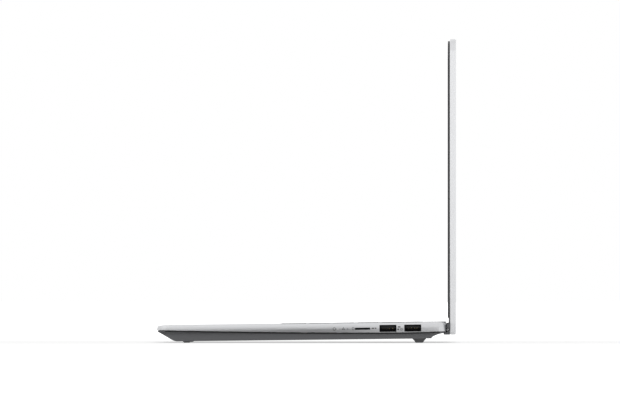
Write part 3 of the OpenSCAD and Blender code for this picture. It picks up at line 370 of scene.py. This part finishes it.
# %% Make the plastic and rubber finishes
def moulded(name, colour, roughness, texture=0.35 * MM, depth=0.004 * MM, wear=0.04):
    """Plastic or rubber whose texture and depth of texture come from its mould."""
    material, recipe = new_finish(name)
    cloudy = recipe.grain(35 * MM)
    fine = recipe.grain(texture, 1.0)
    recipe.surface(Base_Color=recipe.tinted(colour, 1 - wear + 2 * wear * cloudy),
                   Roughness=roughness - 0.04 + 0.08 * cloudy,
                   Normal=recipe.bumps(fine, depth))
    return material


key_grey = moulded("key_plastic", (0.09, 0.092, 0.1), 0.5, 0.25 * MM, 0.003 * MM)
bezel_black = moulded("bezel_plastic", (0.02, 0.02, 0.022), 0.45)
strip_grey = moulded("strip_plastic", (0.12, 0.123, 0.13), 0.45)
foot_rubber = moulded("foot_rubber", (0.17, 0.17, 0.174), 0.75, 0.5 * MM, 0.01 * MM, 0.1)
plain_black = moulded("black_plastic", (0.02, 0.02, 0.02), 0.55)
shutter_grey = moulded("shutter_plastic", (0.12, 0.12, 0.125), 0.5)
milky = moulded("light_plastic", (0.85, 0.85, 0.83), 0.3)
panel_grey = moulded("panel_stack", (0.3, 0.3, 0.31), 0.5)
film = moulded("membrane_plastic", (0.55, 0.55, 0.53), 0.4)
ribbon = moulded("ribbon", (0.45, 0.27, 0.08), 0.4)
cable_black = moulded("cable_black", (0.02, 0.02, 0.02), 0.6)
board_green = moulded("board_green", (0.02, 0.1, 0.06), 0.35)
chip_black = moulded("chip_black", (0.03, 0.03, 0.03), 0.5)
ink = moulded("key_ink", (0.62, 0.63, 0.65), 0.6)
mark_grey = moulded("mark_ink", (0.1, 0.1, 0.105), 0.6)
touch_glass = moulded("touchpad_glass", (0.58, 0.585, 0.6), 0.35, 0.2 * MM, 0.002 * MM)
print("materials so far:", len(bpy.data.materials))


# %% Make the glass finishes
def dark_glass(name, colour, roughness, bending):
    """Glass over something dark. The less it bends light, the less it mirrors the room."""
    material, recipe = new_finish(name)
    smudge = recipe.grain(50 * MM, 3.0)
    recipe.surface(Base_Color=colour, Roughness=roughness + 0.05 * smudge, IOR=bending)
    return material


screen_glass = dark_glass("screen_glass", (0.006, 0.006, 0.008), 0.06, 1.25)
lens_glass = dark_glass("lens_glass", (0.01, 0.01, 0.025), 0.03, 1.5)
print("materials so far:", len(bpy.data.materials))

# %% [markdown]
# ## Bare metal
# Hinges, screws, shields and contacts are rolled or drawn metal without paint. Rolling leaves fine
# streaks in one direction. Noise that is stretched along the width gives them, and it drives both
# the roughness and a faint bump. The ports are steel where they show at the wall, and black
# further in, partly for the plastic inside and partly as painted shade in the depth of the
# opening, so one material changes over at a depth.


# %% Make the bare metals
def bare_metal(name, colour, roughness):
    """Metal with streaks three quarters of a millimetre wide and twenty times as long."""
    material, recipe = new_finish(name)
    drawn = recipe.node("ShaderNodeMapping", None,
                        {"Vector": recipe.place(), "Scale": (1 / 20, 1, 1)})
    streaks = recipe.node("ShaderNodeTexNoise", None,
                          {"Vector": drawn, "Scale": 1 / (0.75 * MM), "Detail": 2.0})
    recipe.surface(Base_Color=colour, Metallic=1.0, Roughness=roughness - 0.08 + 0.16 * streaks,
                   Normal=recipe.bumps(streaks, 0.003 * MM))
    return material


hinge_steel = bare_metal("hinge_steel", (0.42, 0.42, 0.44), 0.35)
screw_steel = bare_metal("screw_steel", (0.09, 0.09, 0.095), 0.4)
sheet_metal = bare_metal("sheet_metal", (0.5, 0.5, 0.52), 0.35)
copper = bare_metal("copper", (0.7, 0.36, 0.2), 0.3)
gilding = bare_metal("gilding", (0.75, 0.6, 0.3), 0.25)
cell_foil = bare_metal("cell_foil", (0.2, 0.2, 0.22), 0.4)
print("materials so far:", len(bpy.data.materials))


# %% Make the ports steel at the mouth and black inside
def port_finish(name, mouth, inside, depth):
    """Bare metal near the wall, and another colour further in than the depth."""
    material, recipe = new_finish(name)
    # Further in than the depth the port turns black: partly the plastic inside, partly painted
    # shade in the depth of the opening.
    deep = abs(recipe.across()) < wall_x - depth
    worn = recipe.grain(1.5 * MM)
    recipe.surface(Base_Color=recipe.blend(deep, mouth, inside), Metallic=1 - 0.9 * deep,
                   Roughness=0.35 + 0.25 * deep + 0.1 * worn)
    return material


port_steel = port_finish("port_steel", (0.3, 0.3, 0.31), (0.012, 0.012, 0.013), 2.05 * MM)
print("materials so far:", len(bpy.data.materials))

# %% Give every solid its finish
FINISHES = {finish.name.split(".")[0]: finish for finish in (
    silver, lid_silver, silver_in_painted_shade, key_grey, bezel_black, strip_grey, foot_rubber, plain_black,
    shutter_grey, milky, panel_grey, film, ribbon, cable_black, board_green, chip_black,
    screen_glass, lens_glass, hinge_steel, screw_steel, port_steel, sheet_metal, copper,
    cell_foil, touch_glass)}
slot_of = {part["node"]: part["material_slot"] for part in frame["record"]["subparts"]}
for node, solid in frame["nodes"].items():
    solid.data.materials.clear()
    solid.data.materials.append(FINISHES[slot_of[node]])
print("finishes:", len(FINISHES))

# %% [markdown]
# ## Working on a copy of a solid
# A solid comes out of the modeller as loose triangles with perfectly sharp edges. Real edges
# are never sharp: a milled edge is broken by a fraction of a millimetre, and that tiny round
# is what catches the light. So the pieces that show get a copy whose triangles are merged into
# clean faces. The edges are then picked in code, by the angle between their faces and by their
# place, and bevelled in edit mode, as by hand.


# %% Helpers that copy, soften, join and hand in a piece
body_of = {node: body for body, nodes in frame["record"]["behaviour"]["bodies"].items()
           for node in nodes}


def pick_up(piece):
    bpy.ops.object.select_all(action="DESELECT")
    piece.select_set(True)
    bpy.context.view_layer.objects.active = piece


def clean_copy(node, name):
    """A copy of a solid, with its triangles merged into whole faces."""
    piece = frame["nodes"][node].copy()
    piece.data = piece.data.copy()
    piece.parent = None
    piece.name = name
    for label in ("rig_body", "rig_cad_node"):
        if label in piece:
            del piece[label]
    bpy.context.scene.collection.objects.link(piece)
    pick_up(piece)
    bpy.ops.mesh.customdata_custom_splitnormals_clear()
    bpy.ops.object.mode_set(mode="EDIT")
    bpy.ops.mesh.select_all(action="SELECT")
    bpy.ops.mesh.remove_doubles(threshold=0.002 * MM)
    bpy.ops.mesh.dissolve_limited(angle_limit=math.radians(0.1))
    bpy.ops.object.mode_set(mode="OBJECT")
    return piece


def middle_of(edge):
    return (edge.verts[0].co + edge.verts[1].co) / 2


def soften(piece, width, wanted, segments=2, sharper_than=35, material=-1, clamp=True):
    """Rounds the sharp edges that pass the test called wanted, and says how many there were."""
    pick_up(piece)
    bpy.ops.object.mode_set(mode="EDIT")
    bpy.ops.mesh.select_mode(type="EDGE")
    bpy.ops.mesh.select_all(action="DESELECT")
    mesh = bmesh.from_edit_mesh(piece.data)
    count = 0
    for edge in mesh.edges:
        sharp = (len(edge.link_faces) == 2
                 and edge.calc_face_angle(0) > math.radians(sharper_than))
        if sharp and wanted(edge):
            edge.select_set(True)
            count += 1
    bmesh.update_edit_mesh(piece.data)
    if count:
        bpy.ops.mesh.bevel(offset=width, segments=segments, affect="EDGES",
                           clamp_overlap=clamp, material=material)
    bpy.ops.object.mode_set(mode="OBJECT")
    return count


def join_all(pieces, finish):
    """Makes one piece out of several, with its place in its mesh and a single finish."""
    bpy.ops.object.select_all(action="DESELECT")
    for piece in pieces:
        piece.select_set(True)
    bpy.context.view_layer.objects.active = pieces[0]
    bpy.ops.object.join()
    bpy.ops.object.transform_apply()
    joined = bpy.context.object
    joined.data.materials.clear()
    joined.data.materials.append(finish)
    return joined


def hand_in(piece, node, *finishes, smooth=32):
    """Lets a finished piece stand for its solid, on the same body and with the same slot.

    The weighted normals keep a large flat face flat where it runs into a rounded edge.
    """
    pick_up(piece)
    while len(piece.data.materials) < len(finishes):
        piece.data.materials.append(None)
    for number, finish in enumerate(finishes):
        piece.data.materials[number] = finish
    bpy.ops.object.shade_smooth_by_angle(angle=math.radians(smooth))
    weigh = piece.modifiers.new("weigh", "WEIGHTED_NORMAL")
    weigh.keep_sharp = True
    weigh.weight = 100
    bpy.ops.object.modifier_apply(modifier=weigh.name)
    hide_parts(node)
    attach(piece, body_of[node])
    print(piece.name, "faces:", len(piece.data.polygons))


def faces_up(edge):
    return any(face.normal.z > 0.9 for face in edge.link_faces)


def from_wall(point):
    """How far a point is from the widest part of the side wall, on either side."""
    return abs(abs(point.x) - wall_x)


# %% [markdown]
# ## The upper case
# The deck and the side walls are one piece of aluminium. The walls are crowned, which the solid
# already has. What is left are the openings for keys, touchpad and power button and the mouths
# of the ports, whose edges are broken by a tenth or two of a millimetre. The lower edge of the
# wall stays as it is.

# %% Soften the upper case
OPENING_ROUND = 0.18 * MM
PORT_ROUND = 0.1 * MM
NEAR_WALL = 0.06 * MM
upper_case = clean_copy("top_case", "upper_case")


def on_deck_plane(edge):
    return faces_up(edge) and all(abs(over_deck(vert.co)) < HAIR for vert in edge.verts)


def at_port_mouth(edge):
    middle = middle_of(edge)
    return (from_wall(middle) < NEAR_WALL and middle.y < rear_corner_y
            and all(from_wall(vert.co) < 2 * NEAR_WALL for vert in edge.verts))


print("opening edges:", soften(upper_case, OPENING_ROUND, on_deck_plane))
print("port edges:", soften(upper_case, PORT_ROUND, at_port_mouth))
hand_in(upper_case, "top_case", silver)

# %% [markdown]
# ## The bottom cover
# The groove between the bottom cover and the walls above it gets a black finish as painted shade,
# so that the seam reads as a dark line. The groove's floor and lips are already there, so they
# only need a material of their own, and they are picked by their place and by the way they face.
# The ears at the ends of the hinge channel come to a thin point above the deck, which is filed
# down to just below it.

# %% Paint shade into the groove and file the ears
GROOVE_DROP = (2.5 * MM, 9.3 * MM)
GROOVE_DEPTH = 1.1 * MM
GROOVE_FLOOR = (0.95 * MM, 1.3 * MM)
EAR_HEIGHT = deck_point(0, 214).z - 1.2 * MM
lower_case = clean_copy("bottom_cover", "lower_case")
lower_case.data.materials.append(None)
# The groove's faces take the second, black finish: painted shade in the seam.
groove_shade_faces = 0
for face in lower_case.data.polygons:
    drop = -over_deck(face.center)
    inset = wall_x - abs(face.center.x)
    lip = abs(face.normal.z) > 0.7 and 0 < inset < GROOVE_DEPTH
    groove_floor = abs(face.normal.x) > 0.99 and GROOVE_FLOOR[0] < inset < GROOVE_FLOOR[1]
    if GROOVE_DROP[0] < drop < GROOVE_DROP[1] and (lip or groove_floor):
        face.material_index = 1
        groove_shade_faces += 1
filed = 0
for vert in lower_case.data.vertices:
    if vert.co.z > EAR_HEIGHT and vert.co.y > rear_corner_y:
        vert.co.z = EAR_HEIGHT
        filed += 1
print("groove shade faces:", groove_shade_faces, "filed corners:", filed)
# The black second finish is painted shade in the groove.
hand_in(lower_case, "bottom_cover", silver_in_painted_shade, plain_black)

# %% [markdown]
# ## The lid's cover
# The back of the display is a shallow tray. Its rim meets the plastic bezel with a narrow
# chamfer that is cut after anodising, so it stays bright. The bevel operator can give the
# faces that it makes a second material, which is how the chamfer gets its polish. Then the
# sharp edges at the lid's foot are broken a little.

# %% Cut the bright chamfer
CHAMFER = 0.55 * MM
LID_FOOT_ROUND = 0.15 * MM
LID_FOOT_TOP = lid_low.z + 9 * MM
lid_shell = clean_copy("lid_cover", "lid_shell")
lid_centre = (lid_low + lid_high) / 2


def outer_rim(edge):
    if any(abs(vert.co.y - lid_low.y) > HAIR for vert in edge.verts):
        return False
    outward = middle_of(edge) - lid_centre
    outward.y = 0
    return any(face.normal.dot(outward.normalized()) > 0.3 for face in edge.link_faces)


def at_lid_foot(edge):
    middle = middle_of(edge)
    return middle.y > lid_low.y + MM and middle.z < LID_FOOT_TOP


print("rim edges:", soften(lid_shell, CHAMFER, outer_rim, segments=1, material=1, clamp=False))
print("foot edges:", soften(lid_shell, LID_FOOT_ROUND, at_lid_foot, sharper_than=55))
hand_in(lid_shell, "lid_cover", lid_silver, polished)

# %% [markdown]
# ## Bezel, hinge strip and barrels
# These are moulded plastic. A mould never makes a sharp outer edge, so the bezel's outer edge
# and the edge round the screen are rounded by a few tenths, and so are the hinge's covers.

# %% Soften the plastic round the display
BEZEL_ROUND = 0.35 * MM
COVER_ROUND = 0.3 * MM
BARREL_INNER_END = 94.5 * MM
SHORT_BEZEL_EDGE = 0.6 * MM
SHORT_COVER_EDGE = 2 * MM
bezel = clean_copy("display_bezel", "soft_bezel")
bezel_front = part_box("display_bezel")[0].y


def on_bezel_front(edge):
    return edge.calc_length() > SHORT_BEZEL_EDGE and all(
        abs(vert.co.y - bezel_front) < HAIR for vert in edge.verts)


print("bezel edges:", soften(bezel, BEZEL_ROUND, on_bezel_front, segments=3))
hand_in(bezel, "display_bezel", bezel_black)
for node, name, finish in (("hinge_strip", "soft_hinge_strip", strip_grey),
                           ("hinge_barrels", "soft_hinge_barrels", bezel_black)):
    cover = clean_copy(node, name)
    low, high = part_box(node)

    def at_an_end(edge):
        """Whether a long edge lies at the top, the bottom or an end of the cover."""
        middle = middle_of(edge)
        gaps = (middle.z - high.z, middle.z - low.z, abs(middle.x) - high.x,
                abs(middle.x) - BARREL_INNER_END)
        return (edge.calc_length() > SHORT_COVER_EDGE
                and min(abs(gap) for gap in gaps) < 0.1 * MM)

    print(name, "edges:", soften(cover, COVER_ROUND, at_an_end, sharper_than=50))
    hand_in(cover, node, finish)

# %% [markdown]
# ## The feet
# Three rubber strips stand proud of the bottom: two short ones in front and a long one behind.
# Each is pressed from soft rubber, so every lower edge is round.

# %% Round the feet
FOOT_ROUND = 0.5 * MM
FOOT_SOLE = 0.4 * MM
for node, name in (("front_feet", "round_front_feet"), ("rear_foot", "round_rear_foot")):
    feet = clean_copy(node, name)
    print(name, "edges:", soften(feet, FOOT_ROUND, lambda edge: middle_of(edge).z < FOOT_SOLE,
                                 segments=3))
    hand_in(feet, node, foot_rubber)

# %% [markdown]
# ## Key caps
# A chiclet key is a flat cap with a small round along its top edge and a shallow dish that
# finds the fingertip. All the caps of a row are one solid, so a row is done at once: the top
# edges are bevelled, and then every top face is inset on its own and sunk by a tenth.

# %% Shape every row of keys
CAP_TOP = -0.1
CAP_ROUND = 0.25 * MM
DISH = 0.12
DISH_RIM = 1.1 * MM
SMALLEST_TOP = 20 * MM ** 2


def at_cap_top(point):
    return abs(over_deck(point, CAP_TOP)) < 0.03 * MM


def on_cap_top(edge):
    return faces_up(edge) and all(at_cap_top(vert.co) for vert in edge.verts)


for node in [node for node in frame["nodes"] if slot_of[node] == "key_plastic"]:
    caps = clean_copy(node, node.replace("keys", "caps").replace("key", "cap") + "_dished")
    soften(caps, CAP_ROUND, on_cap_top, segments=3)
    bpy.ops.object.mode_set(mode="EDIT")
    bpy.ops.mesh.select_mode(type="FACE")
    bpy.ops.mesh.select_all(action="DESELECT")
    mesh = bmesh.from_edit_mesh(caps.data)
    for face in mesh.faces:
        level = face.normal.dot(deck_up) > 0.999
        if level and face.calc_area() > SMALLEST_TOP and at_cap_top(face.calc_center_median()):
            face.select_set(True)
    bmesh.update_edit_mesh(caps.data)
    bpy.ops.mesh.inset(thickness=DISH_RIM, depth=-DISH * MM, use_individual=True)
    bpy.ops.object.mode_set(mode="OBJECT")
    hand_in(caps, node, key_grey, smooth=40)

# %% [markdown]
# ## Key characters
# The characters are printed in light grey ink. They could be a picture laid over the keys, but
# text objects stay crisp at any distance. Each text is made a mesh before its place is applied,
# the texts of one row are joined, and the row's print rides on the same body as its caps.

# %% Print the characters
KEY_UNIT = 19.0
BLOCK_HALF = 14.5 * KEY_UNIT / 2
FUNCTION_ROW, NUMBER_ROW, UPPER_ROW = 190.7, 175.05, 156.75
HOME_ROW, LOWER_ROW, BOTTOM_ROW = 138.45, 120.15, 101.85
ROWS = {  # the row's place, the first key's width in units, and the texts
    "number_keys": (NUMBER_ROW, 1.0, list("`1234567890-=")),
    "upper_letter_keys": (UPPER_ROW, 1.5, ["tab"] + list("QWERTYUIOP[]\\")),
    "home_letter_keys": (HOME_ROW, 1.75, ["caps"] + list("ASDFGHJKL;'")),
    "lower_letter_keys": (LOWER_ROW, 2.25, [""] + list("ZXCVBNM,./")),
}
INK_LIFT = 0.03
PRINT_UP = CAP_TOP - DISH + INK_LIFT
LETTER_SIZE, WORD_SIZE, FUNCTION_SIZE, MODIFIER_SIZE = 5.2, 3.4, 2.9, 3.2
ARROW_SIZE = 1.1 * MM


def character(text, across, back, size):
    """One printed text, made a mesh that lies on the deck."""
    bpy.ops.object.select_all(action="DESELECT")
    bpy.ops.object.text_add(location=deck_point(across, back, PRINT_UP),
                            rotation=(DECK_TILT, 0, 0))
    sign = bpy.context.object
    sign.data.body = text
    sign.data.size = size * MM
    sign.data.resolution_u = 2
    sign.data.align_x = "CENTER"
    sign.data.align_y = "CENTER"
    bpy.ops.object.convert(target="MESH")
    return sign


def arrow(across, back, turn):
    """A small triangle that points along the turn."""
    bpy.ops.object.select_all(action="DESELECT")
    bpy.ops.mesh.primitive_circle_add(vertices=3, radius=ARROW_SIZE, fill_type="NGON",
                                      location=deck_point(across, back, PRINT_UP),
                                      rotation=(DECK_TILT, 0, math.radians(turn)))
    return bpy.context.object


def print_on(node, signs):
    """Joins the texts of one row and lets them ride on its keys."""
    row = join_all(signs, ink)
    row.name = node + "_print"
    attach(row, body_of[node])


printed = 0
for node, (back, first, texts) in ROWS.items():
    left = -BLOCK_HALF
    signs = []
    for place, text in enumerate(texts):
        width = first * KEY_UNIT if place == 0 else KEY_UNIT
        if text:
            size = LETTER_SIZE if len(text) == 1 else WORD_SIZE
            signs.append(character(text, left + width / 2, back, size))
        left += width
    print_on(node, signs)
    printed += len(signs)
print("characters:", printed)

# %% Print the words on the wide and small keys
half_pitch = BLOCK_HALF / 16
function_texts = ["esc"] + ["F%d" % number for number in range(1, 13)] + ["ins", "prt", "del"]
print_on("function_keys", [
    character(text, -BLOCK_HALF + (2 * place + 1) * half_pitch, FUNCTION_ROW, FUNCTION_SIZE)
    for place, text in enumerate(function_texts)])
for node, text, side, units, back in (
        ("backspace_key", "back", 1, 0.75, NUMBER_ROW), ("enter_key", "enter", 1, 0.875, HOME_ROW),
        ("left_shift_key", "shift", -1, 1.125, LOWER_ROW),
        ("right_shift_key", "shift", 1, 1.125, LOWER_ROW)):
    middle_x = side * (BLOCK_HALF - units * KEY_UNIT)
    print_on(node, [character(text, middle_x, back, WORD_SIZE)])
left = -BLOCK_HALF
words = []
for text, width in (("ctrl", 1.25), ("fn", 1), ("alt", 1), ("cmd", 1), ("", 5), ("alt", 1),
                    ("ctrl", 1.25)):
    if text:
        words.append(character(text, left + width * KEY_UNIT / 2, BOTTOM_ROW, MODIFIER_SIZE))
    left += width * KEY_UNIT
print_on("modifier_keys", words)
right_x = BLOCK_HALF - KEY_UNIT / 2
middle_x = right_x - KEY_UNIT
HALF_ROW = 4.55
print_on("arrow_keys", [arrow(right_x - 2 * KEY_UNIT, BOTTOM_ROW, 90),
                        arrow(right_x, BOTTOM_ROW, -90),
                        arrow(middle_x, BOTTOM_ROW + HALF_ROW, 0),
                        arrow(middle_x, BOTTOM_ROW - HALF_ROW, 180)])
print("words:", len(function_texts) + 4 + len(words), "arrows: 4")

# %% [markdown]
# ## Touchpad and power button
# The touchpad is a plate of etched glass with a ground edge. The power button is the same
# aluminium as the deck and carries the common sign for power, an open ring with a bar.

# %% Finish the touchpad and the button
PAD_ROUND = 0.25 * MM
BUTTON_ROUND = 0.2 * MM
pad = clean_copy("touchpad", "ground_touchpad")
print("pad edges:", soften(
    pad, PAD_ROUND, lambda edge: faces_up(edge) and edge.calc_length() > 0.2 * MM, segments=3))
hand_in(pad, "touchpad", touch_glass)
button = clean_copy("power_button", "soft_power_button")
print("button edges:", soften(button, BUTTON_ROUND, faces_up, segments=3))
hand_in(button, "power_button", silver)

# %% Print the power sign
RING = 1.15 * MM
RING_GAP = 0.45 * MM
LINE = 0.22 * MM
BAR_LENGTH = 1.1 * MM
BAR_MIDDLE = 0.75 * MM
button_low, button_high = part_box("power_button")
button_middle = (button_low + button_high) / 2
button_middle.z = button_high.z + HAIR
bpy.ops.object.select_all(action="DESELECT")
bpy.ops.mesh.primitive_circle_add(vertices=32, radius=RING, fill_type="NGON")
power_sign = bpy.context.object
bpy.ops.object.mode_set(mode="EDIT")
bpy.ops.mesh.select_all(action="SELECT")
bpy.ops.mesh.inset(thickness=LINE, depth=0)
bpy.ops.mesh.delete(type="FACE")
bpy.ops.mesh.select_mode(type="FACE")
bpy.ops.mesh.select_all(action="DESELECT")
mesh = bmesh.from_edit_mesh(power_sign.data)
for face in mesh.faces:
    middle = face.calc_center_median()
    face.select_set(middle.y > 0 and abs(middle.x) < RING_GAP)
bmesh.update_edit_mesh(power_sign.data)
bpy.ops.mesh.delete(type="FACE")
bpy.ops.mesh.primitive_plane_add(size=1, location=(0, BAR_MIDDLE, 0))
bpy.ops.transform.resize(value=(LINE, BAR_LENGTH, 1))
bpy.ops.object.mode_set(mode="OBJECT")
power_sign.location = button_middle
power_sign.rotation_euler = (DECK_TILT, 0, 0)
bpy.ops.object.transform_apply()
power_sign.name = "power_sign"
power_sign.data.materials.append(mark_grey)
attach(power_sign, "power_button")
print("faces of the power sign:", len(power_sign.data.polygons))

# %% [markdown]
# ## Small marks by the ports
# Next to each port is a printed sign as small as a grain of rice. They are flat shapes drawn
# in the plane of the wall: a ring, a triangle, two frames, a dot and three short bars. Each
# starts as a circle with few or many corners, and an inset leaves only the outline of some.


# %% Print the marks on the right wall
def wall_mark(corners, size, along, drop, turn=0.0, stretch=(1, 1), outline=0.0):
    """A flat sign on the right wall. Along and drop are in millimetres, from the deck's lip."""
    bpy.ops.object.select_all(action="DESELECT")
    bpy.ops.mesh.primitive_circle_add(vertices=corners, radius=size * MM, fill_type="NGON",
                                      rotation=(0, 0, math.radians(turn)))
    sign = bpy.context.object
    bpy.ops.object.transform_apply()
    bpy.ops.object.mode_set(mode="EDIT")
    bpy.ops.mesh.select_all(action="SELECT")
    bpy.ops.transform.resize(value=(stretch[0], stretch[1], 1))
    if outline:
        bpy.ops.mesh.inset(thickness=outline * MM, depth=0)
        bpy.ops.mesh.delete(type="FACE")
    bpy.ops.object.mode_set(mode="OBJECT")
    sign.rotation_euler = (math.radians(90), 0, math.radians(90))
    sign.location = deck_point(0, along, -drop) + Vector((wall_x + HAIR, 0, 0))
    bpy.ops.object.transform_apply()
    return sign


marks = [
    wall_mark(16, 1.2, 132.6, 4.2, outline=0.35),         # a ring
    wall_mark(3, 1.3, 139.4, 4.2, outline=0.35),          # a triangle
    wall_mark(4, 1.4, 146.6, 4.2, 45, (0.85, 1), 0.32),   # a tall frame
    wall_mark(4, 0.9, 161.4, 4.1, 45, (1.5, 0.7)),        # two bars
    wall_mark(4, 0.9, 163.4, 4.1, 45, (0.9, 0.7)),
    wall_mark(4, 1.3, 181.0, 3.3, 45, (1.1, 0.5)),        # a bar above a dot and a frame
    wall_mark(12, 0.7, 180.3, 5.1),
    wall_mark(4, 1.1, 182.7, 5.1, 45, (1.0, 0.9), 0.35),
]
wall_print = join_all(marks, mark_grey)
wall_print.name = "port_marks"
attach(wall_print, "base")
print("marks:", len(marks))

# %% [markdown]
# ## Contacts in the full-size ports
# Under the plastic tongue of each port lie four thin gilded springs. One is modelled from a
# cube that is drawn out and bevelled, and the other seven are copies with their own mesh.

# %% Lay the contacts
CONTACT = (8 * MM, 0.9 * MM, 0.18 * MM)
CONTACT_ROUND = 0.06 * MM
CONTACT_PITCH = 2.3 * MM
CONTACT_INSET = 6.2 * MM
contacts = []
for node in ("front_full_size_port", "rear_full_size_port"):
    low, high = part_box(node)
    for step in (-1.5, -0.5, 0.5, 1.5):
        if contacts:
            contact = contacts[0].copy()
            contact.data = contacts[0].data.copy()
            bpy.context.scene.collection.objects.link(contact)
        else:
            bpy.ops.object.select_all(action="DESELECT")
            bpy.ops.mesh.primitive_cube_add(size=1)
            contact = bpy.context.object
            bpy.ops.object.mode_set(mode="EDIT")
            bpy.ops.transform.resize(value=CONTACT)
            bpy.ops.mesh.bevel(offset=CONTACT_ROUND, segments=2, affect="EDGES")
            bpy.ops.object.mode_set(mode="OBJECT")
        contact.location = (high.x - CONTACT_INSET, (low.y + high.y) / 2 + step * CONTACT_PITCH,
                            (low.z + high.z) / 2 + HAIR)
        contacts.append(contact)
springs = join_all(contacts, gilding)
springs.name = "port_contacts"
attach(springs, "base")
print("contacts:", len(contacts))
